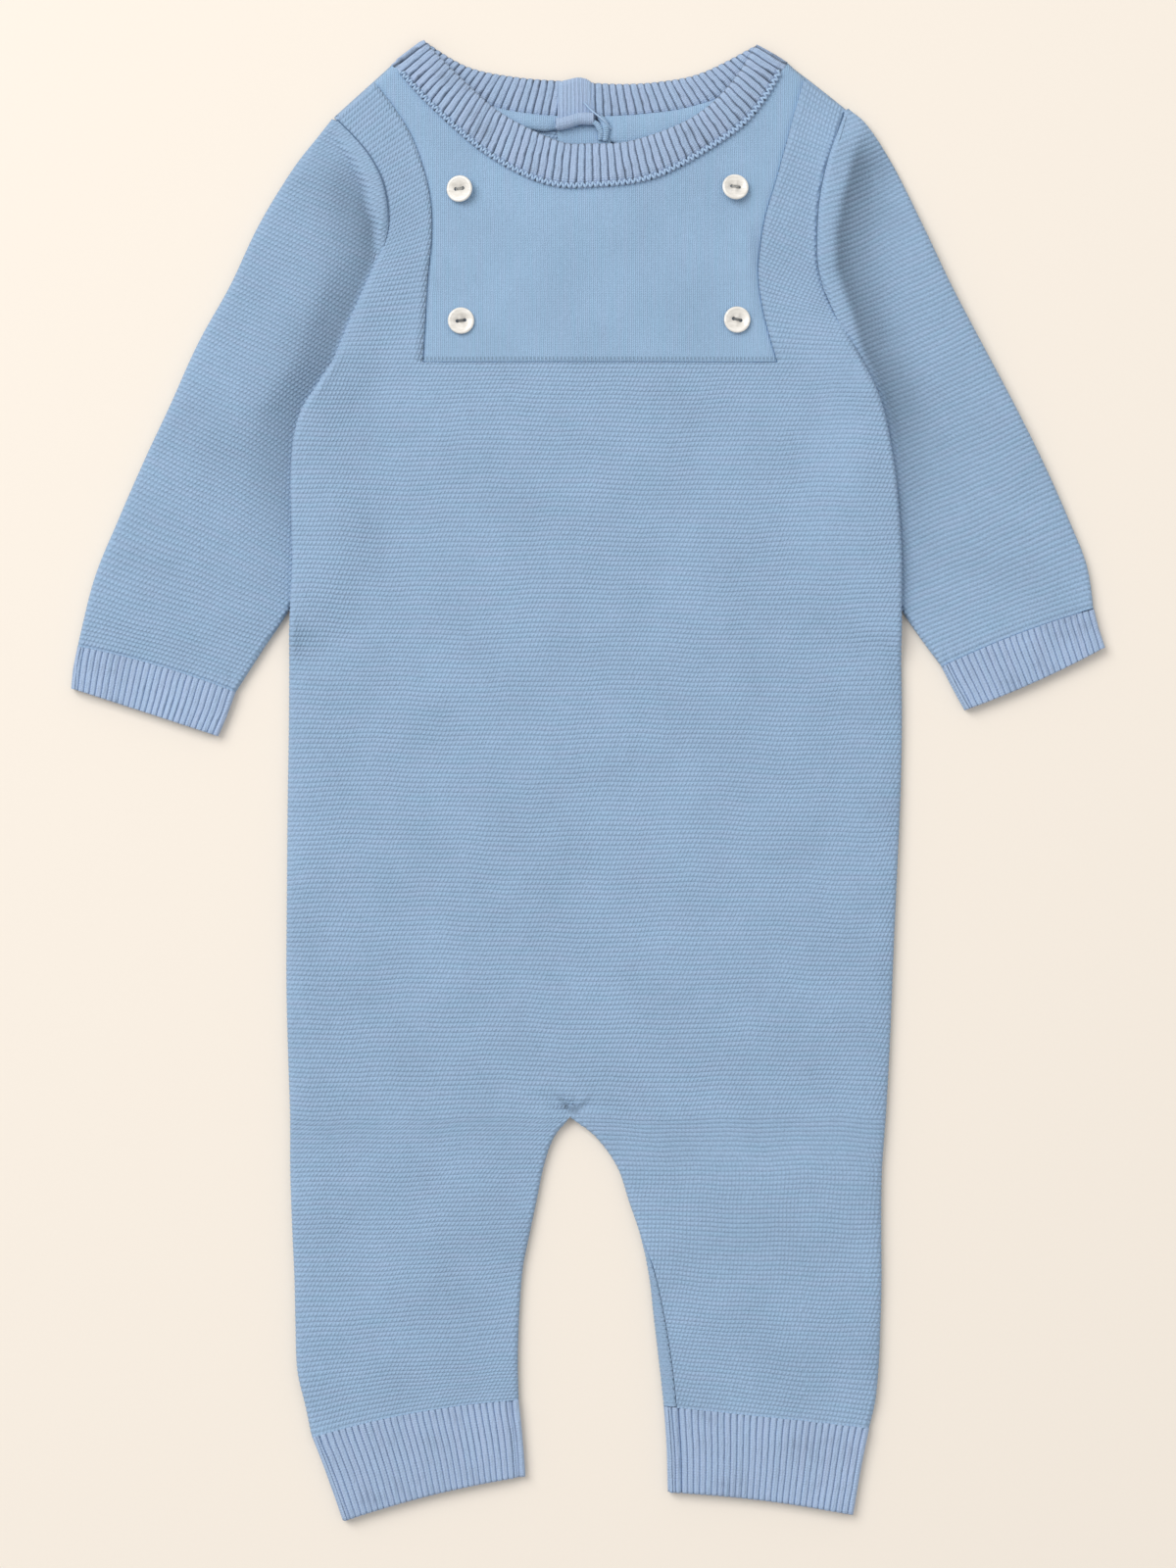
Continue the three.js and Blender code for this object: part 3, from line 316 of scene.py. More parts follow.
def table_line(table, name, position):
    """The line of a table's X and Y columns of a name, at positions between its rows."""
    return np.stack([spline(table[name + "_x"], position), spline(table[name + "_y"], position)], axis=1)


def line_distance(x, y, x1, y1, x2, y2):
    """Distance in plan from points to a straight line between two points."""
    share = ((x - x1) * (x2 - x1) + (y - y1) * (y2 - y1)) / ((x2 - x1) ** 2 + (y2 - y1) ** 2)
    share = np.clip(share, 0, 1)
    return np.hypot(x - x1 - (x2 - x1) * share, y - y1 - (y2 - y1) * share)


BODY_EDGE = {
    side: np.concatenate([
        np.stack([STRIPS[side + "_x"], STRIPS[side + "_y"]], axis=1),
        np.stack([TORSO[side], TORSO["y"]], axis=1)[1:],
    ])
    for side in ("left", "right")
}


def falling(points, y):
    """X at the height y of a line whose Y falls from point to point."""
    points = np.asarray(points, float)
    return np.interp(-y, -points[:, 1], points[:, 0])


def by_side(x, left, right):
    """Takes the left or the right value by the sign of x."""
    return np.where(x < 0, left, right)


def body_lift(x, y):
    """How far the body is raised where it lies on the sleeves' inner edges."""
    edge = by_side(x, falling(SLEEVE_EDGES["left"]["inner"], y), falling(SLEEVE_EDGES["right"]["inner"], y))
    inward = by_side(x, x - edge, edge - x)
    length = smoothstep(-y, -174, -153) * smoothstep(y, 42, 60)
    return BODY_LIFT * length * (1 - smoothstep(inward, 3, 30))


def edge_distance(x, y):
    """Distance outwards from the body's side edge; negative inside the body."""
    return by_side(x, falling(BODY_EDGE["left"], y) - x, x - falling(BODY_EDGE["right"], y))


def armhole_ridge(x, y):
    """The ridge of the body's front over the sleeve, below the end of each armhole seam."""
    seam_end = by_side(x, SEAM_END["left"], SEAM_END["right"])
    length = smoothstep(seam_end - y, 0, 22) * smoothstep(y, 120, 160)
    return ARMHOLE_RIDGE * length * (1 - smoothstep(-edge_distance(x, y), 4, 24))


def sleeve_pressed(x, y):
    """How far the sleeve is pressed down beside and under the body, from 0 to 1."""
    start = by_side(x, PRESS_START["left"], PRESS_START["right"])
    length = smoothstep(start - y, 0, 26) * smoothstep(y, 38, 66)
    return length * (1 - smoothstep(edge_distance(x, y), 2, 17))


def unevenness(x, y):
    """The slight waviness of cloth that was laid out by hand."""
    wave = np.sin(x / 23 + 1.3) * np.cos(y / 31 + 0.4) + 0.6 * np.sin(x / 13 - y / 17 + 2.1)
    return 0.16 * wave + 0.08 * np.sin(x / 7.3 + y / 9.1)


def front_field(x, y):
    """Height of the middle of the front layer, before the lift and the ridge."""
    height = BACK_HEIGHT + LAYER_STEP + unevenness(x, y)
    for x1, y1, x2, y2, width, rise in zip(*(FOLDS[name] for name in FOLD_COLUMNS.split())):
        height = height + rise * np.exp(-(line_distance(x, y, x1, y1, x2, y2) / width) ** 2)
    return height


def right_strip(y, least):
    """The width of the soft strip beside the right armhole seam, which gets wider upwards."""
    return least + 4.5 * smoothstep(y, 166, 190) + 2.5 * smoothstep(y, 205, 240)


def sleeve_head(x, y):
    """The height of the soft strip beside each armhole seam and of the valley between it and the crown."""
    outward = edge_distance(x, y)
    left = outward - (1.0 + 7.5 * smoothstep(y, 200, 230))
    right = outward - right_strip(y, 1.0)
    soft = 1.9 - 2.8 * smoothstep(left, -3.5, 0.5) + 3.6 * (1 - np.exp(-np.logaddexp(0, left) / 7.5))
    soft = soft - 2.0 * smoothstep(left, 12, 40)
    sharp = 2.6 - 3.9 * (1 - np.exp(-np.logaddexp(0, right) / 6.5)) + 2.0 * smoothstep(right, 12, 40)
    along_left = smoothstep(y, 110, 170) * (1 - smoothstep(y, 236, 258))
    along_right = smoothstep(y, 95, 155) * (1 - smoothstep(y, 250, 264))
    return by_side(x, soft * along_left, sharp * along_right)


def fold_shade(x, y):
    """How deep in the valley beside an armhole each point lies, from 0 to 1: the strength of the shade
    painted into the cloth's colour there.
    """
    outward = edge_distance(x, y)
    left = outward - (0.5 + 7.0 * smoothstep(y, 200, 230))
    right = outward - right_strip(y, 1.0)
    soft = smoothstep(left, -2.5, 2.5) * np.exp(-(np.clip(left - 2, 0, None) / 13) ** 1.4)
    sharp = smoothstep(right, -0.8, 3.0) * np.exp(-(np.clip(right - 3, 0, None) / 14) ** 1.4)
    soft = 0.85 * soft * smoothstep(y, 62, 165) * (1 - smoothstep(y, 222, 250))
    sharp = sharp * smoothstep(y, 70, 165) * (1 - smoothstep(y, 240, 258))
    return by_side(x, soft, sharp) * (outward > -1.5)


def smooth_strip(x, y):
    """Where the ridges fade into the smooth strip beside an armhole seam: 1 in the strip, 0 beyond it."""
    outward = edge_distance(x, y)
    left = outward - (-1.0 + 7.5 * smoothstep(y, 205, 230))
    right = outward - right_strip(y, 0.5)
    return 1 - smoothstep(by_side(x, left, right), -1.5, 0.8)


def body_front(x, y):
    """Height of the middle of the body's front layer."""
    return front_field(x, y) + body_lift(x, y) + armhole_ridge(x, y)


def body_back(x, y):
    """Height of the middle of the body's back layer."""
    return BACK_HEIGHT + body_lift(x, y)


def sleeve_front(x, y):
    """Height of the middle of a sleeve's upper layer."""
    press = sleeve_pressed(x, y)
    raised_front = front_field(x, y) + sleeve_head(x, y)
    pressed = raised_front * (1 - press) + (BACK_HEIGHT + SLEEVE_PRESSED) * press
    return np.maximum(pressed, BACK_HEIGHT + SLEEVE_LEAST)


def sleeve_back(x, y):
    """Height of the middle of a sleeve's lower layer."""
    return BACK_HEIGHT + 0 * x


SHOULDERS = [
    ((STRIPS["left_x"][0], STRIPS["left_y"][0]), NECK["front_sewn"][0]),
    ((STRIPS["right_x"][0], STRIPS["right_y"][0]), NECK["front_sewn"][-1]),
]


def shoulder_turn(x, y):
    """How far a layer has turned towards the other one at the shoulder lines, from 0 to 1."""
    near = np.minimum(*(line_distance(x, y, *a, *b) for a, b in SHOULDERS))
    cosine = 1 - np.clip((near - CLOTH / 2) / SHOULDER_ROLL, 0, 1)
    return 1 - np.sqrt(1 - cosine * cosine)


def upper_front(x, y):
    """Height of the middle of the front layer, which meets the back at the shoulders."""
    half = (body_front(x, y) - body_back(x, y)) / 2
    return body_front(x, y) - half * shoulder_turn(x, y)


def upper_back(x, y):
    """Height of the middle of the back layer, which meets the front at the shoulders."""
    half = (body_front(x, y) - body_back(x, y)) / 2
    return body_back(x, y) + half * shoulder_turn(x, y)


def fold_path(length, radius, centre):
    """Way in from a fold and height, at a length along the cloth from the fold's foot."""
    angle = np.minimum(length / radius, math.pi) - math.pi / 2
    beyond = np.maximum(length - math.pi * radius, 0)
    inward = CLOTH / 2 + radius * (1 - np.cos(angle)) + beyond
    return inward, centre + radius * np.sin(angle)


def rolled_end(point, tops, layer, share, wrap=0.0, gap=0.0, dip=0.0, steps=FOLD_STEPS):
    """The way in and the heights of a layer's end, which rolls round the fold between the two layers."""
    top_of, bottom_of = tops
    top = top_of(point[:, 0], point[:, 1])[:, None]
    bottom = bottom_of(point[:, 0], point[:, 1])[:, None]
    radius = np.maximum((top - bottom) / 2, 0.25)
    seam = math.pi * radius / 2 + np.reshape(wrap, (-1, 1))
    if layer == "front":
        start = seam + gap / 2
        end = np.maximum(math.pi * radius, start + 0.8)
    else:
        start = seam - gap / 2
        end = 0 * start
    step = np.linspace(0, 1, steps + 1)[None, :]
    inward, height = fold_path(start + (end - start) * step, radius, (top + bottom) / 2)
    flat = top if layer == "front" else bottom
    share = np.reshape(share, (-1, 1))
    reach = step * (CLOTH / 2 + np.minimum(radius, 1.4 + radius * share))
    if layer == "front":
        flat = flat - dip * np.exp(-((reach / 1.1) ** 2))
    return reach + (inward - reach) * share, flat + (height - flat) * share


def fitted_end(point, tops, layer, total, roll):
    """A rolled end that takes up less than half of the layer's width."""
    inward, heights = rolled_end(point, tops, layer, **roll)
    return inward * np.minimum(1, 0.45 * total / inward[:, -1:]), heights


def lay_layer(start, end, tops, layer, start_roll=None, end_roll=None, flats=10, crowd=1.0):
    """One layer of cloth from a line of start points to a line of end points, as a grid of points."""
    way = end - start
    total = np.linalg.norm(way, axis=1, keepdims=True)
    way = way / total
    from_start = start_heights = from_end = end_heights = np.zeros((len(start), 0))
    first, last = 0 * total, total
    if start_roll:
        inward, heights = fitted_end(start, tops, layer, total, start_roll)
        first = inward[:, -1:]
        from_start, start_heights = inward[:, :-1], heights[:, :-1]
    if end_roll:
        inward, heights = fitted_end(end, tops, layer, total, end_roll)
        last = total - inward[:, -1:]
        from_end, end_heights = total - inward[:, -2::-1], heights[:, -2::-1]
    flat = first + (last - first) * (1 - (1 - np.linspace(0, 1, flats + 1)[None, :]) ** crowd)
    plan = start[:, None, :] + way[:, None, :] * flat[:, :, None]
    height_of = tops[0] if layer == "front" else tops[1]
    flat_heights = height_of(plan[..., 0], plan[..., 1])
    distance = np.concatenate([from_start, flat, from_end], axis=1)
    height = np.concatenate([start_heights, flat_heights, end_heights], axis=1)
    plan = start[:, None, :] + way[:, None, :] * distance[:, :, None]
    return np.concatenate([plan, height[:, :, None]], axis=2)


def normals_of(points):
    """Normals of a grid of points whose rows run down and whose columns run to the right."""
    across = np.gradient(points, axis=1)
    down = np.gradient(points, axis=0)
    normal = np.cross(down, across)
    return normal / np.maximum(np.linalg.norm(normal, axis=2, keepdims=True), 1e-9)


def cloth_width(points, middle=None):
    """Distance across the cloth at each point, measured along its rows from a middle column."""
    steps = np.linalg.norm(np.diff(points, axis=1), axis=2)
    across = np.concatenate([np.zeros((len(points), 1)), np.cumsum(steps, axis=1)], axis=1)
    if middle is not None:
        across = across - across[:, [middle]]
    return across


def ridge_relief(down, pitch, height):
    """Height of the knit's ridges at a distance down the cloth."""
    wave = 0.5 + 0.5 * np.cos(2 * math.pi * down / pitch)
    return height * (wave ** 0.8 - 0.5)


def rib_relief(turns, height):
    """Height of the ribs after a number of turns: broad rounded tops with narrow grooves between them."""
    groove = (0.5 - 0.5 * np.cos(2 * math.pi * turns)) ** 2.2
    return height * (1 - 2 * groove)


def add_grid(bm, points, uv, flip=False):
    """Adds a grid of points, in millimetres, to a mesh, with its cloth coordinates as UVs."""
    rows, cols = points.shape[:2]
    sheet = bmesh.new()
    bmesh.ops.create_grid(sheet, x_segments=cols - 1, y_segments=rows - 1, size=0.5)
    if flip:
        bmesh.ops.reverse_faces(sheet, faces=sheet.faces)
    mesh = bpy.data.meshes.new("sheet")
    sheet.to_mesh(mesh)
    sheet.free()
    place = np.empty(len(mesh.vertices) * 3)
    mesh.vertices.foreach_get("co", place)
    place = place.reshape(-1, 3)
    column = np.rint((place[:, 0] + 0.5) * (cols - 1)).astype(int)
    row = np.rint((0.5 - place[:, 1]) * (rows - 1)).astype(int)
    moved = points[row, column] * MM
    moved[:, 1] += CENTRE_Y * MM
    mesh.vertices.foreach_set("co", moved.ravel())
    corner = np.empty(len(mesh.loops), int)
    mesh.loops.foreach_get("vertex_index", corner)
    layer = mesh.uv_layers.new(name="cloth")
    layer.data.foreach_set("uv", (uv[row, column] * MM)[corner].ravel())
    bm.from_mesh(mesh)
    bpy.data.meshes.remove(mesh)


def new_object(name, bm, material, smooth=True):
    """Makes an object of a mesh, at the origin, with its material."""
    mesh = bpy.data.meshes.new(name)
    bm.to_mesh(mesh)
    bm.free()
    mesh.materials.append(material)
    if smooth:
        mesh.polygons.foreach_set("use_smooth", [True] * len(mesh.polygons))
    piece = bpy.data.objects.new(name, mesh)
    bpy.context.scene.collection.objects.link(piece)
    return piece


def cloth_piece(name, sheets, material, nodes, thickness=CLOTH, flip=False):
    bm = bmesh.new()
    bm.loops.layers.uv.new("cloth")
    for points, uv in sheets:
        add_grid(bm, points, uv, flip)
    bmesh.ops.remove_doubles(bm, verts=bm.verts, dist=0.01 * MM)
    piece = new_object(name, bm, material)
    wall = piece.modifiers.new("cloth thickness", "SOLIDIFY")
    wall.thickness = thickness * MM
    wall.offset = 0
    wall.use_even_offset = False
    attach(piece, "root")
    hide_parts(*nodes)
    return piece


def paint_fold_shade(piece):
    """Stores at each point how deep it lies in a valley, as the strength of the shade painted into the
    cloth's colour.
    """
    places = np.zeros(len(piece.data.vertices) * 3)
    piece.data.vertices.foreach_get("co", places)
    places = places.reshape(-1, 3) / MM
    depth = fold_shade(places[:, 0], places[:, 1] - CENTRE_Y)
    piece.data.attributes.new("fold_shade", "FLOAT", "POINT").data.foreach_set("value", depth)


class Shader:
    """Short names for adding and joining a material's nodes."""

    def __init__(self, tree):
        self.tree = tree

    def node(self, kind, **values):
        made = self.tree.nodes.new(kind)
        for name, value in values.items():
            setattr(made, name, value)
        return made

    def join(self, value, socket):
        if isinstance(value, bpy.types.NodeSocket):
            self.tree.links.new(value, socket)
        else:
            socket.default_value = value

    def math(self, operation, *values):
        made = self.node("ShaderNodeMath", operation=operation)
        for value, socket in zip(values, made.inputs):
            self.join(value, socket)
        return made.outputs[0]

    def add(self, first, second):
        return self.math("ADD", first, second)

    def subtract(self, first, second):
        return self.math("SUBTRACT", first, second)

    def multiply(self, first, second):
        return self.math("MULTIPLY", first, second)

    def scaled(self, value, factor, offset):
        return self.math("MULTIPLY_ADD", value, factor, offset)

    def parts(self, vector):
        made = self.node("ShaderNodeSeparateXYZ")
        self.join(vector, made.inputs[0])
        return made.outputs

    def group(self, name):
        return self.node("ShaderNodeGroup", node_tree=bpy.data.node_groups[name])

    def bump(self, height, strength, distance, shader):
        made = self.node("ShaderNodeBump")
        made.inputs["Strength"].default_value = strength
        made.inputs["Distance"].default_value = distance * MM
        self.join(height, made.inputs["Height"])
        self.join(made.outputs["Normal"], shader.inputs["Normal"])

    def mix(self, factor, first, second, blend="MIX"):
        made = self.node("ShaderNodeMix", data_type="RGBA", blend_type=blend)
        self.join(factor, made.inputs["Factor"])
        self.join(first, made.inputs[6])
        self.join(second, made.inputs[7])
        return made.outputs[2]

    def noise(self, vector, scale, detail=2.0, roughness=0.5):
        made = self.node("ShaderNodeTexNoise")
        self.join(vector, made.inputs["Vector"])
        made.inputs["Scale"].default_value = scale
        made.inputs["Detail"].default_value = detail
        made.inputs["Roughness"].default_value = roughness
        return made.outputs["Fac"]


def set_inputs(node, values):
    """Sets some of a node's inputs by their names."""
    for name, value in values.items():
        node.inputs[name].default_value = value


def tinted(colour, factor):
    """A colour made darker or lighter, with its alpha."""
    return [min(channel * factor, 1.0) for channel in colour] + [1.0]


def new_group(name, inputs, outputs):
    """A shader node group; gives its short names, the inputs inside it and the outputs to fill."""
    group = bpy.data.node_groups.new(name, "ShaderNodeTree")
    for socket, kind, default in inputs:
        made = group.interface.new_socket(name=socket, in_out="INPUT", socket_type=kind)
        if default is not None:
            made.default_value = default
    for socket in outputs:
        group.interface.new_socket(name=socket, in_out="OUTPUT", socket_type="NodeSocketFloat")
    return Shader(group), group.nodes.new("NodeGroupInput").outputs, group.nodes.new("NodeGroupOutput").inputs


def yarn_group():
    """Fleck and fuzz of the cotton yarn, which every knit shares."""
    inputs = [("Place", "NodeSocketVector", None)]
    s, given, result = new_group("cotton_yarn", inputs, ["Fleck", "Mottle", "Fuzz"])
    s.join(s.noise(given["Place"], 950.0, 3.0, 0.7), result["Fleck"])
    s.join(s.noise(given["Place"], 42.0, 3.0, 0.55), result["Mottle"])
    s.join(s.noise(given["Place"], 3200.0, 2.0, 0.7), result["Fuzz"])


def purl_stitch(s, across, down):
    """Rows of beads that lean to and fro: their height and how deep in a groove each point is."""
    row = s.multiply(down, math.pi)
    ridge = s.scaled(s.math("COSINE", row), 0.5, 0.5)
    swing = s.multiply(s.math("SINE", row), 0.8)
    odd = s.math("FLOOR", s.scaled(down, 0.5, 0.5))
    turn = s.add(s.multiply(across, 2 * math.pi), s.multiply(odd, math.pi))
    bead = s.scaled(s.math("COSINE", s.add(turn, swing)), 0.5, 0.5)
    height = s.multiply(s.scaled(bead, 0.6, 0.4), s.scaled(ridge, 0.7, 0.3))
    groove = s.math("POWER", s.subtract(1.0, ridge), 1.4)
    return height, s.multiply(groove, s.scaled(bead, -0.7, 1.0))


def plain_stitch(s, across, down):
    """Columns of small Vs: their height and how deep in a groove each point is."""
    side = s.math("ABSOLUTE", s.subtract(s.math("FRACT", across), 0.5))
    slant = s.scaled(side, 1.5, down)
    leg = s.math("SINE", s.multiply(side, 2 * math.pi))
    stitch = s.scaled(s.math("COSINE", s.multiply(slant, 2 * math.pi)), 0.5, 0.5)
    height = s.multiply(leg, s.scaled(stitch, 0.45, 0.55))
    close = s.subtract(1.0, s.multiply(side, 3.3))
    return height, s.math("POWER", s.math("MAXIMUM", close, 0.0), 0.8)


def stitch_group(name, stitch):
    """The relief of one kind of knit stitch, from its cloth coordinates, and the depth of its grooves."""
    inputs = [
        ("Cloth", "NodeSocketVector", None), ("Wale", "NodeSocketFloat", 1.5 * MM),
        ("Course", "NodeSocketFloat", 1.15 * MM), ("Wobble", "NodeSocketFloat", 0.0),
    ]
    s, given, result = new_group(name, inputs, ["Height", "Groove"])
    cloth = s.parts(given["Cloth"])
    across = s.math("DIVIDE", cloth["X"], given["Wale"])
    down = s.math("DIVIDE", cloth["Y"], given["Course"])
    across = s.add(across, s.multiply(given["Wobble"], 0.6))
    down = s.add(down, s.multiply(given["Wobble"], 0.35))
    height, groove = stitch(s, across, down)
    s.join(height, result["Height"])
    s.join(groove, result["Groove"])


def crease_shade_group():
    """The painted shade of a V-shaped crease above the meeting point of the legs, from object coordinates: 1
    in its depth.
    """
    s, given, result = new_group("crotch_crease", [("Place", "NodeSocketVector", None)], ["Crease"])
    place = s.parts(given["Place"])
    x, y = PAINTED_CREASE["x"] * MM, (PAINTED_CREASE["y"] + CENTRE_Y) * MM
    beside = s.math("ABSOLUTE", s.subtract(place["X"], x))
    arm = s.math("MAXIMUM", s.subtract(beside, PAINTED_CREASE["flat"] * MM), 0.0)
    over = s.subtract(s.subtract(place["Y"], y), arm)
    over = s.math("DIVIDE", over, PAINTED_CREASE["width"] * MM)
    line = s.math("EXPONENT", s.multiply(s.multiply(over, over), -1.0))
    fade = s.subtract(1.0, s.math("DIVIDE", beside, PAINTED_CREASE["reach"] * MM))
    on_front = s.math("GREATER_THAN", place["Z"], BACK_HEIGHT * 2 * MM)
    depth = s.multiply(s.multiply(line, s.math("MAXIMUM", fade, 0.0)), on_front)
    s.join(depth, result["Crease"])


def new_material(name, values):
    """A material with its main shader set; gives its short names, that shader and the object coordinates."""
    material = bpy.data.materials.new(name)
    material.use_nodes = True
    s = Shader(material.node_tree)
    shader = material.node_tree.nodes["Principled BSDF"]
    set_inputs(shader, values)
    return s, shader, s.node("ShaderNodeTexCoord").outputs["Object"]


def last_row_dots(s, cloth, wale):
    """The dots of shade between the stitches of the bib's last row."""
    parts = s.parts(cloth)
    from_row = s.math("ABSOLUTE", s.subtract(parts["Y"], BIB_LAST_ROW * MM))
    near = s.subtract(1.0, s.math("DIVIDE", from_row, 1.1 * MM))
    dots = s.math("COSINE", s.multiply(parts["X"], 2 * math.pi / (wale * MM)))
    return s.multiply(s.math("MAXIMUM", near, 0.0), s.scaled(dots, 0.25, 0.22))


def knit_material(name, colour, stitches, wale, course, strength, cavity_shade, groove):
    """A cotton knit: its stitches as relief, with painted shade in its dips and grooves and a painted
    highlight on its stitches' tops, soft and fuzzy at grazing angles.
    """
    s, shader, place = new_material(name, {
        "Roughness": 0.95, "Specular IOR Level": 0.15, "Sheen Weight": 0.2, "Sheen Roughness": 0.45,
        "Sheen Tint": (0.85, 0.9, 1.0, 1.0),
    })
    cloth = s.node("ShaderNodeUVMap", uv_map="cloth").outputs["UV"]
    yarn, knit, crease = s.group("cotton_yarn"), s.group(stitches), s.group("crotch_crease")
    s.join(place, yarn.inputs["Place"])
    s.join(place, crease.inputs["Place"])
    s.join(cloth, knit.inputs["Cloth"])
    set_inputs(knit, {"Wale": wale * MM, "Course": course * MM})
    drift = s.scaled(s.noise(place, 190.0, 2.0, 0.6), 0.9, yarn.outputs["Mottle"])
    s.join(s.subtract(drift, 0.95), knit.inputs["Wobble"])

    height = knit.outputs["Height"]
    fleck = s.scaled(yarn.outputs["Fleck"], 2.0, -0.5)
    # Painted shade and highlight: the low parts of the stitches get a darker colour and their tops a lighter
    # one, mixed with the yarn's own fleck
    tone = s.add(s.multiply(height, 0.55), s.multiply(fleck, 0.5))
    blue = s.mix(tone, tinted(colour, cavity_shade), tinted(colour, 1.08))
    streak = s.node("ShaderNodeMapping")
    long_rows = stitches == "purl_stitches"
    streak.inputs["Scale"].default_value = (60.0, 320.0, 1.0) if long_rows else (520.0, 36.0, 1.0)
    s.join(cloth, streak.inputs["Vector"])
    streaks = s.noise(streak.outputs["Vector"], 1.0, 2.0, 0.5)
    lilac = s.mix(streaks, (0.93, 1.0, 0.99, 1), (1.09, 1.0, 1.01, 1))
    blue = s.mix(1.0, blue, lilac, "MULTIPLY")

    # Painted shade in the grooves between the stitches, and on the bib the painted dots of shade along its
    # last row
    shade = s.multiply(knit.outputs["Groove"], groove)
    if name == "plain_cotton":
        shade = s.add(shade, last_row_dots(s, cloth, wale))
    mottle = s.node("ShaderNodeMapRange")
    s.join(yarn.outputs["Mottle"], mottle.inputs["Value"])
    set_inputs(mottle, {"From Min": 0.3, "From Max": 0.7, "To Min": 0.95, "To Max": 1.04})
    light = s.multiply(mottle.outputs["Result"], s.subtract(1.0, shade))
    # Painted shade: the stored fold_shade darkens the cloth's colour in the valleys beside the armholes
    fold = s.node("ShaderNodeAttribute", attribute_name="fold_shade").outputs["Fac"]
    light = s.multiply(light, s.scaled(fold, -VALLEY_SHADE, 1.0))
    # Painted shade: the crease over the meeting point of the legs darkens the cloth's colour
    light = s.multiply(light, s.scaled(crease.outputs["Crease"], -CREASE_SHADE, 1.0))
    grey = s.node("ShaderNodeCombineColor")
    for channel in grey.inputs[:3]:
        s.join(light, channel)
    s.join(s.mix(1.0, blue, grey.outputs[0], "MULTIPLY"), shader.inputs["Base Color"])
    relief = s.add(height, s.multiply(yarn.outputs["Fuzz"], 0.35))
    s.bump(s.add(relief, s.multiply(fleck, 0.3)), strength, 0.5, shader)


def shell_material():
    """Polished mother-of-pearl: cloudy white with faint layers."""
    s, shader, place = new_material("shell", {"Roughness": 0.22, "Coat Weight": 0.4, "Coat Roughness": 0.12})
    stretch = s.node("ShaderNodeMapping")
    set_inputs(stretch, {"Scale": (1.0, 3.2, 1.0), "Rotation": (0, 0, 0.5)})
    s.join(place, stretch.inputs["Vector"])
    cloud = s.noise(stretch.outputs["Vector"], 260.0, 3.0, 0.6)
    ramp = s.node("ShaderNodeValToRGB")
    dark, bright = ramp.color_ramp.elements
    dark.position, bright.position = 0.32, 0.68
    dark.color, bright.color = (0.72, 0.70, 0.65, 1), (0.9, 0.885, 0.85, 1)
    s.join(cloud, ramp.inputs["Fac"])
    s.join(ramp.outputs["Color"], shader.inputs["Base Color"])
    s.bump(cloud, 0.15, 0.1, shader)


def speckled_material(name, colour, dark, grain, detail, values):
    """A plain colour with a fine grain: twisted sewing thread, or the matt card of the floor."""
    s, shader, place = new_material(name, values)
    speckle = s.noise(place, grain, 2.0, detail)
    s.join(s.mix(speckle, tinted(colour, dark), tinted(colour, 1.0)), shader.inputs["Base Color"])


def materials(scene):
    """Makes the knits, shell and thread once, from the chosen colours and stitch sizes."""
    if "ridged_cotton" not in bpy.data.materials:
        sizes, colours = scene.romper_sizes, scene.romper_colours
        yarn_group()
        crease_shade_group()
        stitch_group("purl_stitches", purl_stitch)
        stitch_group("plain_stitches", plain_stitch)
        course = sizes.ridge_pitch / MM / 2
        for name, (colour, stitches, width, *tones) in KNITS.items():
            wale = getattr(sizes, width) / MM
            knit_material(name, getattr(colours, colour), stitches, wale, course, *tones)
        shell_material()
        for name, colour in THREADS.items():
            speckled_material(name, colour, 0.75, 5200.0, 0.6, {"Roughness": 0.8, "Sheen Weight": 0.2})
        for material in bpy.data.materials:
            material.use_fake_user = True
    return bpy.data.materials


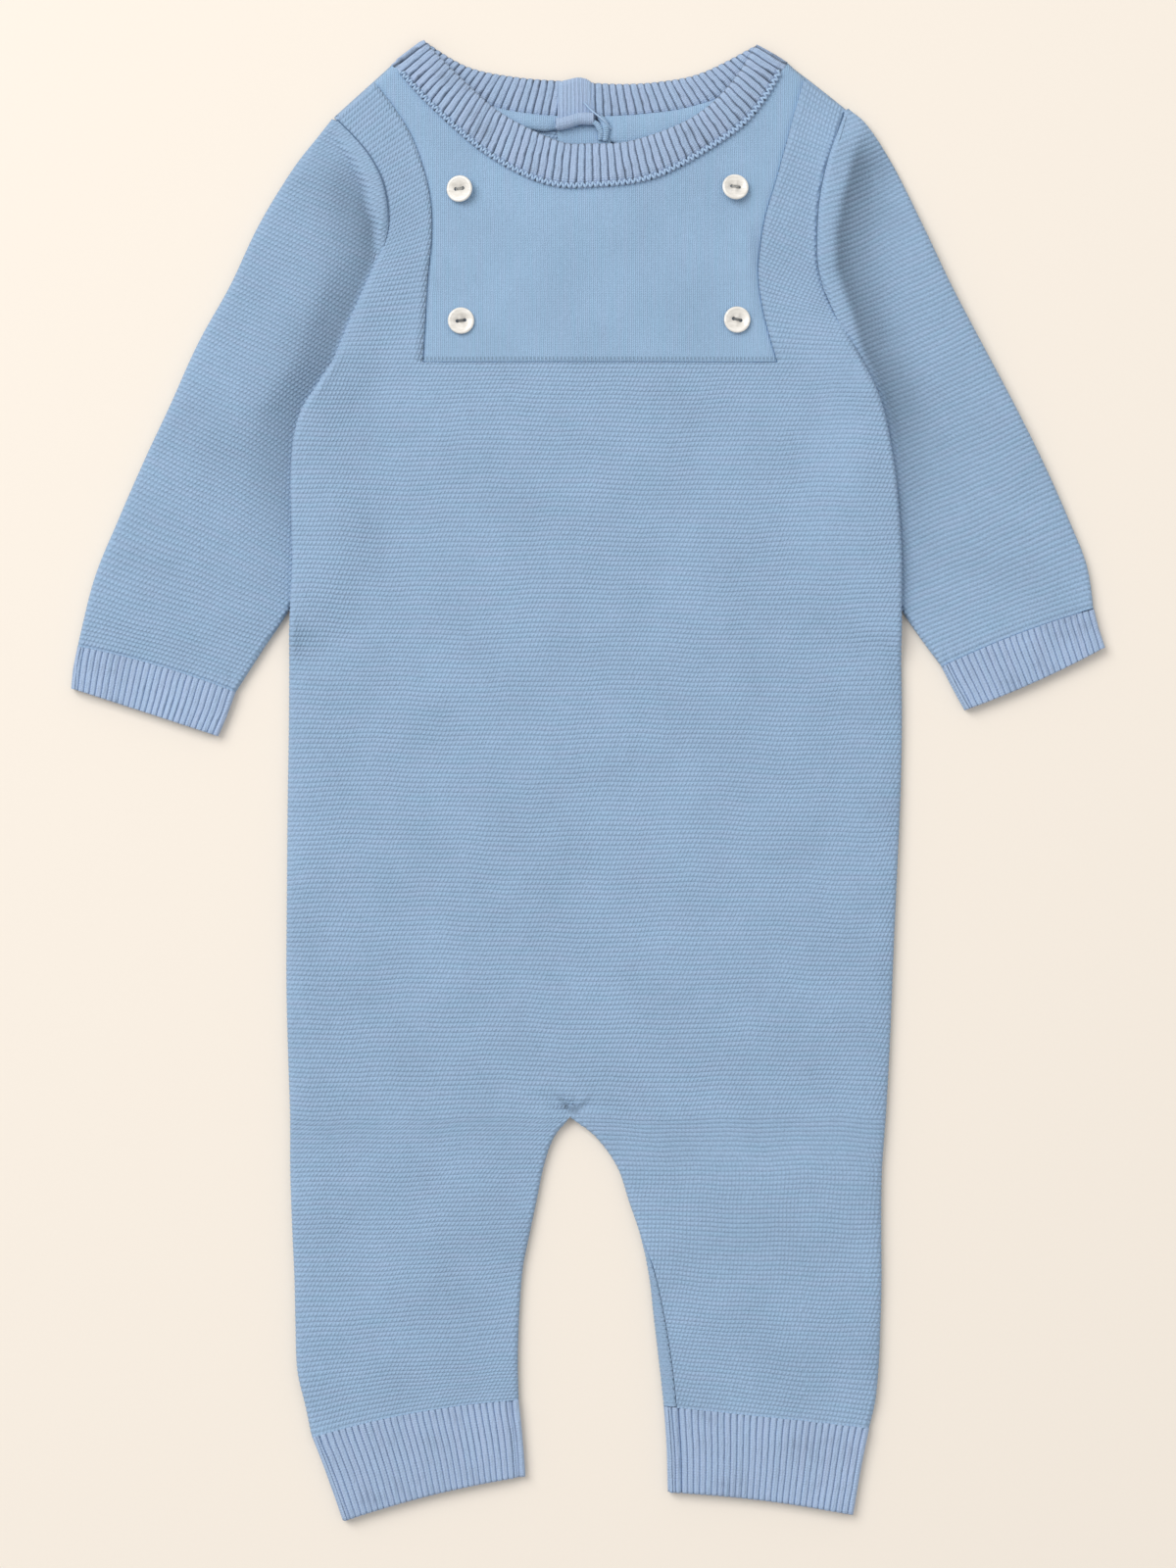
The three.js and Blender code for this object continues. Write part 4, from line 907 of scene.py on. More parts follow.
def body_rows(spacing):
    """The rows that the front and the back share, evenly spaced down the cloth from the bib's lower edge."""
    last = len(STRIPS["left_x"]) - 1
    strip = np.linspace(0.05, last, 500)
    torso = np.linspace(0, len(TORSO["y"]) - 1, 700)[1:]
    leg = np.linspace(0, len(LEGS["wrap"]) - 1, 400)[1:]
    chest = {name: STRIPS[name + "_x"][-1] for name in ("left", "bib_left", "bib_right", "right")}

    def level(x, y):
        return np.stack([x + 0 * y, y], axis=1)

    torso_y = spline(TORSO["y"], torso)
    down = (TORSO["y"][0] - torso_y) / (TORSO["y"][0] - TORSO["y"][-1])
    middle = level(SLIT_X + (LEGS["inner_left_x"][0] - SLIT_X) * down, torso_y)
    left, right = table_line(STRIPS, "left", strip), table_line(STRIPS, "right", strip)
    slit = left + (right - left) * ((SLIT_X - left[:, :1]) / (right[:, :1] - left[:, :1]))
    rows = {}
    for side, edge in (("left", left), ("right", right)):
        outer_leg, inner_leg = table_line(LEGS, side, leg), table_line(LEGS, "inner_" + side, leg)
        share = (chest["bib_" + side] - chest[side]) / (SLIT_X - chest[side])
        below_bib = [
            level(chest["bib_" + side], torso_y),
            outer_leg * (1 - GUIDE_SHARE[side]) + inner_leg * GUIDE_SHARE[side],
        ]
        rows[side] = [edge, level(spline(TORSO[side], torso), torso_y), outer_leg]
        rows["bib_" + side] = [table_line(STRIPS, "bib_" + side, strip), *below_bib]
        rows["guide_" + side] = [edge + (slit - edge) * share, *below_bib]
        rows["middle_" + side] = [slit, middle, inner_leg]
    rows = {name: np.concatenate(parts) for name, parts in rows.items()}
    count = len(strip) + len(torso)
    rows["wrap"] = np.concatenate([np.zeros(count), np.maximum(spline(LEGS["wrap"], leg), 0)])[:, None]
    rows["strip"] = np.concatenate([strip / last, np.ones(len(torso) + len(leg))])[:, None]
    step = sum(np.linalg.norm(np.diff(rows[name], axis=0), axis=1) for name in ("left", "right", "bib_left"))
    down = np.concatenate([[0], np.cumsum(step / 3)])
    down = down - down[len(strip) - 1]
    crotch = down[count - 1]
    first, end = math.ceil(down[0] / spacing), math.floor(down[-1] / spacing)
    goal = np.append(np.arange(first, end + 1) * spacing, down[-1])
    rows = {name: resampled(goal, down, values) for name, values in rows.items()}
    rows["down"] = goal
    rows["crotch"] = crotch
    return rows


def bow_legs(points, rows, edge, inner, cuff):
    """Curves the last rows of a leg as its cuff's edge is curved."""
    share = (points[..., 0] - rows[edge][:, :1]) / (rows[inner][:, :1] - rows[edge][:, :1])
    share = np.clip(share, 0, 1)
    weight = smoothstep(rows["down"], rows["down"][-1] - 50, rows["down"][-1])[:, None]
    points[..., 1] += CUFFS[cuff]["bow"][0] * weight * 4 * share * (1 - share)


def waver(x, y):
    """How far the rows of hand-laid cloth wander from straight."""
    wide = 0.5 * np.sin(x / 19 + y / 43)
    return wide + 0.28 * np.sin(x / 7.3 - y / 21 + 1) + 0.16 * np.sin(x / 3.4 + y / 9)


def gathers(points, rows, height):
    """Small puckers where the legs are linked to the narrower cuffs."""
    near = smoothstep(rows["down"], rows["down"][-1] - 12, rows["down"][-1])[:, None]
    x = points[..., 0]
    points[..., 2] += height * near * (np.sin(x * 1.35) + 0.5 * np.sin(x * 0.71 + 1))


def select(rows, chosen):
    """The rows that a mask or slice chooses."""
    return {name: values if name == "crotch" else values[chosen] for name, values in rows.items()}


def row_room(points, pitch):
    """How much relief fits: none where the rows lie so close that the cloth would fold over itself."""
    across = np.gradient(points, axis=1)
    area = np.linalg.norm(np.cross(np.gradient(points, axis=0), across), axis=2)
    spacing = area / np.maximum(np.linalg.norm(across, axis=2), 1e-6) * ROWS_PER_RIDGE / pitch
    return smoothstep(spacing, 0.47, 0.78)


def raised(points, down, ridge_pitch, ridge_height, fade):
    """Moves a grid's rows out and in to form the knit's ridges, less so where the fade lowers them."""
    relief = ridge_relief(down, ridge_pitch, ridge_height)
    relief = relief[:, None] * fade * row_room(points, ridge_pitch)
    return points + normals_of(points) * relief[..., None]


def edge_fade(columns):
    """Full relief in the middle columns and none in the outermost ones, where a seam draws the cloth in."""
    k = np.arange(columns)
    return np.clip(np.minimum(k, columns - 1 - k) / 3, 0, 1)


def side_share(rows, layer, side):
    """How far the side edge rolls: not at the armhole seam, where the sleeve goes on, and fully below it."""
    low, high = BACK_ROLL if layer == "back" else EDGE_ROLL[side]
    return smoothstep(-rows[side][:, 1], -high, -low)


def armhole_fade(points, rows, layer, side):
    """Full relief but at the armhole's edge, where the seam draws the cloth in."""
    from_edge = np.arange(points.shape[1])
    if side == "right":
        from_edge = from_edge[::-1]
    drawn = 1 - np.clip(from_edge / 3, 0, 1)
    return 1 - (1 - side_share(rows, layer, side))[:, None] * drawn[None, :]


def lay_body(layer, sizes):
    """The grids of the front or the back: two side strips and two middle strips."""
    pitch, relief = sizes.ridge_pitch / MM, sizes.ridge_height / MM
    rows = body_rows(pitch / ROWS_PER_RIDGE)
    tops = (upper_front, upper_back)
    inner = smoothstep(rows["down"], rows["crotch"], rows["crotch"] + 6)
    below = rows["down"] >= -0.01 if layer == "front" else slice(None)
    inner_rows = select(rows, below)
    grids = []
    for side in ("left", "right"):
        guide = ("bib_" if layer == "front" else "guide_") + side
        middle, cuff = "middle_" + side, "ankle_cuff_" + side
        roll = {"share": side_share(rows, layer, side), "gap": SEAM_GAP, "dip": SEAM_DIP["body"]}
        outer_grid = lay_layer(rows[side], rows[guide], tops, layer, roll, flats=8)
        wrap = rows["wrap"][:, 0] if side == "right" else 0 * inner
        inner_roll = {"share": inner[below], "gap": SEAM_GAP, "wrap": wrap[below]}
        inner_grid = lay_layer(inner_rows[middle], inner_rows[guide], tops, layer, inner_roll, flats=7)
        if layer == "front":
            from_bib = np.linalg.norm(outer_grid[..., :2] - rows[guide][:, None], axis=2)
            beside_bib = 1 - smoothstep(rows["down"], -3, 0)
            outer_grid[..., 2] += 0.4 * np.exp(-((from_bib / 3.2) ** 2)) * beside_bib[:, None]
        for points, its_rows in ((outer_grid, rows), (inner_grid, inner_rows)):
            bow_legs(points, its_rows, side, middle, cuff)
            gathers(points, its_rows, 0.22 if layer == "front" else 0.0)
        inner_grid = inner_grid[:, ::-1]
        if layer == "back":
            whole = np.concatenate([outer_grid, inner_grid[:, 1:]], axis=1)
            grids.append([whole, rows, cloth_width(whole, -1)])
        else:
            base = np.linalg.norm(rows[guide] - rows[middle], axis=1)[:, None]
            grids.append([outer_grid, rows, cloth_width(outer_grid, -1) - base])
            grids.append([inner_grid, inner_rows, cloth_width(inner_grid, -1)])
    made = []
    for k, (points, its_rows, across) in enumerate(grids):
        on_left = k < len(grids) / 2
        if not on_left:
            points, across = points[:, ::-1], -across[:, ::-1]
        if layer == "back":
            curve_to_neck(points, its_rows, on_left)
        down = its_rows["down"]
        calm = smoothstep(down, 0, 12) * (1 - smoothstep(down, down[-1] - 14, down[-1] - 2))
        points[..., 1] += calm[:, None] * waver(points[..., 0], points[..., 1])
        fade = np.ones(points.shape[:2])
        if layer == "back" or k in (0, 2):
            fade = armhole_fade(points, its_rows, layer, "left" if on_left else "right")
        points = raised(points, down, pitch, relief, fade)
        made.append((points, np.stack([across, down[:, None] + 0 * across], axis=-1)))
    return made


def curve_to_neck(points, rows, on_left):
    """Curves the back's upper rows from straight to the line of the back neck seam."""
    left, right = rows["left"], rows["right"]
    u = np.linspace(0, 1, 201)
    shoulder = 0.13
    neck = smooth_line(NECK["back_sewn"])
    start, end = left[0], right[0]
    edge = at_share(neck, np.clip((u - shoulder) / (1 - 2 * shoulder), 0, 1))
    for on_shoulder, corner, seam, share in (
        (u > 1 - shoulder, end, neck[-1], (1 - u) / shoulder), (u < shoulder, start, neck[0], u / shoulder),
    ):
        edge = np.where(on_shoulder[:, None], corner + (seam - corner) * share[:, None], edge)
    bow = edge - (start + (end - start) * u[:, None])
    share = np.clip((points[..., 0] - left[:, :1]) / (right[:, :1] - left[:, :1]), 0, 1)
    weight = (1 - (rows["strip"] - rows["strip"][0]) / (1 - rows["strip"][0])) ** 1.4
    points[..., 0] += np.interp(share, u, bow[:, 0]) * weight
    points[..., 1] += np.interp(share, u, bow[:, 1]) * weight
    middle = points[:, -1, 0] if on_left else points[:, 0, 0]
    upper = rows["strip"][:, 0] < 1
    near = np.clip(1 - np.abs(points[..., 0] - middle[:, None]) / 30, 0, 1)
    points[..., 0] += np.where(upper, SLIT_X - middle, 0)[:, None] * near
    column = -1 if on_left else 0
    points[:, column, 0] += np.where(points[:, column, 1] > SLIT_BOTTOM, -0.3 if on_left else 0.3, 0)
    points[..., 2] = np.where(upper[:, None], upper_back(points[..., 0], points[..., 1]), points[..., 2])


def lay_bib():
    """The bib as two halves, each from a side strip to the neck's edge and to the middle line below it."""
    upper, lower = 70, 60
    strip = np.linspace(0.05, len(STRIPS["left_x"]) - 1, 400)
    neck = smooth_line(NECK["front_sewn"])
    lowest = int(np.argmin(neck[:, 1]))
    bottom = np.array([neck[lowest, 0], STRIPS["bib_left_y"][-1]])
    middle = neck[lowest] + (bottom - neck[lowest]) * np.linspace(0, 1, lower + 1)[1:, None]
    made = []
    for side, half in (("left", neck[:lowest + 1]), ("right", neck[:lowest - 1:-1])):
        edge = at_share(table_line(STRIPS, "bib_" + side, strip), np.linspace(0, 1, upper + lower))
        far = np.concatenate([at_share(half, np.linspace(0, 1, upper)), middle])
        u = np.linspace(0, 1, 64)
        plan = edge[:, None] + (far - edge)[:, None] * u[None, :, None]
        from_strip = np.linalg.norm(plan - edge[:, None], axis=2)
        height = upper_front(plan[..., 0], plan[..., 1]) - 0.45 * np.exp(-((from_strip / 1.6) ** 2))
        points = np.concatenate([plan, height[..., None]], axis=2)
        if side == "right":
            points = points[:, ::-1]
        made.append((points, points[..., :2] * [1, -1]))
    return made


def lay_sleeve(side, sizes):
    """A sleeve as two layers whose rows lie square to its length, with the cap cut to the armhole."""
    pitch, relief = sizes.ridge_pitch / MM, sizes.ridge_height / MM
    sign = -1 if side == "left" else 1
    outer = smooth_line(SLEEVE_EDGES[side]["outer"])
    edge = BODY_EDGE[side][:11]
    seam = smooth_line(np.concatenate([edge[:10], SLEEVE_EDGES[side]["inner"][:1]]))
    inner = np.concatenate([seam, smooth_line(SLEEVE_EDGES[side]["inner"])[1:]])
    axis = np.array([sign * -0.42, 0.907])
    out = np.array([sign * 0.907, 0.42])
    cuff_slope = ((outer @ axis)[-1] - (inner @ axis)[-1]) / ((outer[-1] - inner[-1]) @ out)
    start = inner[-1] @ out

    def level(line):
        slope = cuff_slope * (1 - smoothstep(line @ axis, -30, 40))
        return np.minimum.accumulate(line @ axis - slope * (line @ out - start))

    levels = {"outer": level(outer), "inner": level(inner)}
    low, high = levels["outer"][-1], levels["outer"][0] - 1.0
    rows = np.append(np.arange(high, low, -pitch / ROWS_PER_RIDGE), low)
    a = resampled(rows, levels["outer"][::-1], outer[::-1])
    b = resampled(rows, levels["inner"][::-1], inner[::-1])
    armpit = levels["inner"][len(seam) - 1]
    closed = smoothstep(armpit - rows, -2, 6)
    under = smoothstep(SEAM_END[side] - b[:, 1], 0, 15) * smoothstep(rows, armpit - 30, armpit - 6)
    b[:, 0] -= sign * SEAM_TUCK * under
    dip = SEAM_DIP["sleeve"] * (0.15 + 0.85 * smoothstep(b[:, 1], SEAM_END[side] - 10, SEAM_END[side] + 6))
    bow = 1.5 * smoothstep(low + 30 - rows, 0, 30)
    tops = (sleeve_front, sleeve_back)
    seam_end = {"share": closed, "dip": dip[:, None]}
    made = []
    for layer, flats, crowd in (("front", 34, 1.5), ("back", 12, 1.0)):
        points = lay_layer(a, b, tops, layer, {"share": 1.0}, seam_end, flats=flats, crowd=crowd)
        share = np.linalg.norm(points[..., :2] - a[:, None], axis=2) / np.linalg.norm(b - a, axis=1)[:, None]
        points[..., 1] += bow[:, None] * 4 * share * (1 - share)
        across = cloth_width(points, 0)
        if layer == "back":
            across = -across
            from_seam = np.linalg.norm(points[..., :2] - b[:, None], axis=2)
            points[..., 2] += 0.7 * np.exp(-((from_seam / 3) ** 2)) * (under * (1 - closed))[:, None]
        calm = smoothstep(rows, low + 4, low + 16) * (1 - smoothstep(rows, high - 30, high - 10))
        calm = calm[:, None] * np.sin(math.pi * np.clip(share, 0, 1)) ** 0.5
        points[..., 1] += calm * waver(points[..., 0], points[..., 1])
        near = smoothstep(low + 11 - rows, 0, 11)[:, None]
        if layer == "front":
            points[..., 2] += 0.2 * near * np.sin(across * 1.3)
            points[..., 2] -= 0.4 * smoothstep(low + 2.5 - rows, 0, 2.5)[:, None]
        normal = normals_of(points) * (-1 if side == "right" else 1)
        lift = ridge_relief(rows, pitch, relief)[:, None] * edge_fade(points.shape[1])[None, :]
        lift = lift * row_room(points, pitch)
        if layer == "front":
            lift = lift * (1 - 0.85 * smooth_strip(points[..., 0], points[..., 1]))
        points = points + normal * lift[..., None] * (1 if layer == "front" else -1)
        uv = np.stack([across, 0 * across - rows[:, None]], axis=-1)
        if (layer == "front") == (side == "right"):
            points, uv = points[:, ::-1], uv[:, ::-1]
        made.append((points, uv))
    return made


def ring(left, right, top, bottom, count):
    """Evenly spaced points round flat tubes: over the front from left to right, then back underneath."""
    width = np.linalg.norm(right - left, axis=1)[:, None]
    way = (right - left) / width
    radius = (top - bottom) / 2
    flat = width - CLOTH - 2 * radius
    length = np.linspace(0, 1, count)[None, :] * (2 * flat + 2 * math.pi * radius)
    bend = math.pi * radius
    turn_right = np.clip(length - flat, 0, bend) / radius
    turn_left = np.clip(length - 2 * flat - bend, 0, bend) / radius
    over = np.minimum(length, flat)
    under = np.clip(length - flat - bend, 0, flat)
    x = CLOTH / 2 + radius + over - under + radius * (np.sin(turn_right) - np.sin(turn_left))
    rise = np.where(length > flat + bend, -np.cos(turn_left), np.cos(turn_right))
    z = (top + bottom) / 2 + radius * rise
    plan = left[:, None] + way[:, None] * x[..., None]
    front = np.clip(np.minimum(over, flat - over) / 6, 0, 1) * (length < flat + 1e-6)
    return plan, z, x / width, front


def lay_cuff(name, sizes):
    """A cuff as one ribbed tube; an ankle cuff has a shallow groove on its front at the inner seam."""
    table = CUFFS[name]
    pitch, relief = sizes.rib_pitch / MM, sizes.rib_height / MM
    position = np.linspace(0, 2, 21)
    left, right = table_line(table, "left", position), table_line(table, "right", position)
    tall = np.linalg.norm((left + right)[-1] - (left + right)[0]) / 2
    width = np.linalg.norm(right[10] - left[10])
    around = 2 * width - 2 * CLOTH + (math.pi - 2) * LAYER_STEP
    ribs = round(around / pitch)
    count = ribs * COLUMNS_PER_RIB + 1
    bottom = BACK_HEIGHT + relief
    plan, height, share, front = ring(left, right, BACK_HEIGHT + LAYER_STEP, bottom, count)
    plan[..., 1] += spline(table["bow"], position)[:, None] * 4 * share * (1 - share)
    height = height + front * (front_field(plan[..., 0], plan[..., 1]) - BACK_HEIGHT - LAYER_STEP)
    height = np.maximum(height, bottom)
    points = np.concatenate([plan, height[..., None]], axis=2)
    turns = np.linspace(0, 1, count)[None, :] * ribs
    flare = 0.8 + 0.2 * np.abs(np.linspace(-1, 1, len(position)))[:, None]
    rib = flare * rib_relief(turns + 0.04 * np.sin(position * 4)[:, None], relief)
    if name in GROOVE_PLACE:
        from_inner_edge = (1 - share if name.endswith("left") else share) * width
        line = np.exp(-(((from_inner_edge - GROOVE_PLACE[name]) / SEAM_GROOVE["width"]) ** 2))
        rib = rib - SEAM_GROOVE["depth"] * line * (height > BACK_HEIGHT + LAYER_STEP / 2)
    points = points + normals_of(points) * rib[..., None]
    uv = np.stack([turns * pitch + 0 * height, position[:, None] * tall / 2 + 0 * height], axis=-1)
    return [(points, uv)], (around * RIB_TAKE_UP * MM, tall * MM)


def neck_path():
    """The neckband's two edges and its height at the open edge, from its one end at the back to the other."""
    dense = {name: smooth_line(outline) for name, outline in NECK.items()}
    front = BACK_HEIGHT + LAYER_STEP
    back = RIB_CLOTH / 2 + 0.5
    radius, centre = (front - back) / 2, (front + back) / 2
    turn = np.linspace(-math.pi / 2, math.pi / 2, 16)
    lengths = {part: along(dense[part + "_open"])[-1] for part in ("front", "back")}
    bend = {part: radius * (1 - np.cos(turn)) / lengths[part] for part in lengths}
    lower, upper = turn < 0, turn >= 0
    parts = [
        ("back", np.linspace(NECK_BACK_ENDS["left"], radius / lengths["back"], 200), None),
        ("back", bend["back"][lower], centre + radius * np.sin(turn[lower])),
        ("front", bend["front"][upper], centre + radius * np.sin(turn[upper])),
        ("front", np.linspace(radius / lengths["front"], 1 - radius / lengths["front"], 400), None),
        ("front", 1 - bend["front"][upper][::-1], (centre + radius * np.sin(turn[upper]))[::-1]),
        ("back", 1 - bend["back"][lower][::-1], (centre + radius * np.sin(turn[lower]))[::-1]),
        ("back", np.linspace(1 - radius / lengths["back"], NECK_BACK_ENDS["right"], 200), None),
    ]
    stations = {"open": [], "sewn": [], "height": [], "front": [], "corner": []}
    for part, share, height in parts:
        stations["open"].append(at_share(dense[part + "_open"], share))
        stations["sewn"].append(at_share(dense[part + "_sewn"], share))
        flat = front if part == "front" else back
        stations["height"].append(np.full(len(share), flat) if height is None else height)
        is_front = part == "front"
        stations["front"].append(np.full(len(share), float(is_front)))
        stations["corner"].append(np.minimum(share, 1 - share) * lengths[part])
    return {name: np.concatenate(values) for name, values in stations.items()}


def lay_neckband(sizes):
    """The neckband as one ribbed strip whose right end lies over its left end at the centre back."""
    pitch, relief = sizes.neck_rib_pitch / MM, sizes.rib_height / MM
    path = neck_path()
    middle = (path["open"] + path["sewn"]) / 2
    line = np.concatenate([middle, path["height"][:, None]], axis=1)
    distance = along(line)
    ribs = round(distance[-1] / pitch)
    count = ribs * COLUMNS_PER_RIB + 1
    goal = np.linspace(0, distance[-1], count)
    open_edge, sewn_edge = resampled(goal, distance, path["open"]), resampled(goal, distance, path["sewn"])
    height, front, corner = (np.interp(goal, distance, path[name]) for name in ("height", "front", "corner"))
    v = np.linspace(0, 1.03, 25)[:, None, None]
    plan = open_edge[None] + (sewn_edge - open_edge)[None] * v
    v = v[..., 0]
    x, y = plan[..., 0], plan[..., 1]
    crown = 0.7 * np.sin(math.pi * np.clip(v, 0, 1)) ** 0.7
    flat = (BACK_HEIGHT + LAYER_STEP + NECK_FRONT_RISE) * (1 - v) + (upper_front(x, y) + 0.25) * v + crown
    away = smoothstep(corner, 1.4, 16)[None, :] * (front > 0.5)[None, :]
    z = height[None, :] + (flat - height[None, :]) * away
    after = (goal > distance[-1] / 2)[None, :] & (front < 0.5)[None, :]
    z = z + np.where(after, smoothstep(-x, -14, -4), 0) * NECK_OVERLAP_RISE
    z = z + np.where(front[None, :] < 0.5, 0.35 * np.sin(math.pi * np.clip(v, 0, 1)), 0)
    points = np.concatenate([plan, z[..., None]], axis=2)
    turns = np.linspace(0, ribs, count)[None, :]
    fade = np.minimum(smoothstep(v, -0.02, 0.12), 1 - 0.85 * smoothstep(v, 0.82, 0.9))
    rib = fade * rib_relief(turns, relief)
    normal = normals_of(points)
    facing = np.clip(normal[..., 2:] * 1.6, -1, 1)
    points = points + normal * facing * rib[..., None]
    uv = np.stack([turns * sizes.rib_pitch / MM + 0 * v, v * NECKBAND_HEIGHT + 0 * turns], axis=-1)
    return [(points, uv)], (distance[-1] * RIB_TAKE_UP * MM, NECKBAND_HEIGHT * MM)


def lay_placket():
    """The button stand inside the back, under the slit."""
    across = np.linspace(PLACKET["left"], PLACKET["right"], 12)
    x, y = np.meshgrid(across, np.linspace(PLACKET["top"], SLIT_BOTTOM, 60))
    points = np.stack([x, y, PLACKET["height"] + 0.12 * np.sin(x / 2.5)], axis=-1)
    return [(points, np.stack([x, -y], axis=-1))]


def lay_neck_tape(start, end, reach):
    """The edge of the back neck seam, which rolls over softly inside the neck."""
    curve = at_share(smooth_line(NECK["back_sewn"]), np.linspace(start, end, 60))
    ends = np.linspace(0, 1, 60)
    narrow = np.sqrt(np.clip(np.minimum(ends, 1 - ends) * 6, 0, 1))[:, None]
    turn = np.linspace(-0.15, 1.15, 18)[None, :] * math.pi
    down = (1 - np.cos(turn)) * reach / 2 * (0.45 + 0.55 * narrow)
    rise = 2.6 + 1.5 * narrow * np.sin(turn) + 0.15 * np.sin(ends * 21)[:, None]
    x = curve[:, :1] + 0 * down
    y = curve[:, 1:] + 0.6 - down
    points = np.stack([x, y, rise], axis=-1).transpose(1, 0, 2)
    uv = np.stack([x, -y], axis=-1).transpose(1, 0, 2)
    return [(points, uv)]


def lay_tab():
    """The narrow end of the neckband's overlap, folded over the top edge and rolled up at its lower end."""
    u, way = np.meshgrid(np.linspace(0, 1, 30), np.linspace(0, TAB["length"], 90))
    top_fold, flat, roll = TAB["top_fold"], TAB["flat"], TAB["roll"]
    turn = np.clip(way, 0, top_fold) / top_fold * math.pi / 2
    rolled = np.clip(way - top_fold - flat, 0, None)
    radius, angle = roll - 0.035 * rolled, rolled / roll
    peak = 0.9 * np.exp(-(((u - 0.62) / 0.25) ** 2)) - 1.4 * (1 - np.cos(turn))
    y = TAB["top"] + peak - np.clip(way - top_fold, 0, flat) - radius * np.sin(angle)
    z = TAB["height"] - 1.4 * (1 - np.sin(turn)) + roll - radius * np.cos(angle)
    side = np.minimum(u, 1 - u) * 14.5
    z = z - 1.3 * np.exp(-((side / 1.3) ** 2)) * smoothstep(-way, -top_fold - flat, -top_fold)
    y = y - 1.3 * np.exp(-((side / 1.5) ** 2)) * (1 - smoothstep(way, 0, 6))
    x = TAB["left"] + TAB["width"] * u + 0.5 * np.sin(way / 7.0) * (1 - u)
    y = y + 2.1 * u * smoothstep(way, 12, 20) + 0.7 * np.sin(math.pi * u) * smoothstep(-way, -8, 0)
    z = z + 0.22 * np.cos(2 * math.pi * u * 9) * (way < top_fold + flat)
    return [(np.stack([x, y, z], axis=-1), np.stack([x, way], axis=-1))]


def tube(path, radius, sides=10):
    """A closed tube along a smooth line of points, in millimetres; the radius may change along it."""
    path = np.array(path, float)
    ahead = np.gradient(path, axis=0)
    ahead = ahead / np.linalg.norm(ahead, axis=1, keepdims=True)
    beside = np.cross(ahead, [0, 0, 1])
    beside = beside / np.maximum(np.linalg.norm(beside, axis=1, keepdims=True), 1e-6)
    above = np.cross(beside, ahead)
    angle = np.linspace(0, 2 * math.pi, sides + 1)[None, :, None]
    radius = np.reshape(radius, (-1, 1, 1)) * np.ones((len(path), 1, 1))
    around = beside[:, None] * np.cos(angle) + above[:, None] * np.sin(angle)
    points = path[:, None] + around * radius
    distance = along(path)[:, None] + 0 * angle[..., 0]
    uv = np.stack([distance, angle[..., 0] * radius[..., 0]], axis=-1)
    return points, uv


def tube_piece(name, tubes, material):
    """Joins tubes into one trim piece with closed ends."""
    bm = bmesh.new()
    bm.loops.layers.uv.new("cloth")
    for points, uv in tubes:
        add_grid(bm, points, uv)
    bmesh.ops.remove_doubles(bm, verts=bm.verts, dist=0.002 * MM)
    bmesh.ops.holes_fill(bm, edges=[edge for edge in bm.edges if edge.is_boundary], sides=0)
    bmesh.ops.recalc_face_normals(bm, faces=bm.faces)
    piece = new_object(name, bm, material)
    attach(piece, "root")
    return piece


def neck_chain():
    """The row of small loops that links the neckband to the front."""
    line = smooth_line(NECK["front_sewn"], 900)[20:-20]
    ahead = np.gradient(line, axis=0)
    ahead = ahead / np.linalg.norm(ahead, axis=1, keepdims=True)
    away = np.stack([ahead[:, 1], -ahead[:, 0]], axis=1)
    phase = along(line) / 2.1 * 2 * math.pi
    plan = line + away * (-0.55 + 0.85 * np.sin(phase))[:, None]
    height = upper_front(plan[:, 0], plan[:, 1]) + 1.75 + 0.2 * np.sin(2 * phase + 0.8)
    path = np.concatenate([plan, height[:, None]], axis=1)
    return [tube(path, 0.46 + 0.12 * np.sin(2 * phase), 6)]


def armhole_shade_line(side):
    """A dark tube in the groove between the body and the top of a sleeve: painted shade along the armhole
    seam, drawn as a thread line.
    """
    line = smooth_line(BODY_EDGE[side][:11])
    line = line[line[:, 1] > SHADE_LINE_END[side]][6:]
    beside = line[:, 0] + (-0.8 if side == "left" else 0.8)
    height = (body_front(line[:, 0], line[:, 1]) + sleeve_front(beside, line[:, 1])) / 2 + 0.2
    path = np.concatenate([line, height[:, None]], axis=1)
    thin = 1 - 0.6 * np.linspace(0, 1, len(path)) ** 3
    return tube(path, 0.4 * thin, 8)


def ring_of(bm, radius, height, count, centre=(0.0, 0.0)):
    """A ring of vertices and edges."""
    matrix = Matrix.Translation((centre[0], centre[1], height))
    made = bmesh.ops.create_circle(bm, segments=count, radius=radius, matrix=matrix)
    return list({edge for vert in made["verts"] for edge in vert.link_edges})


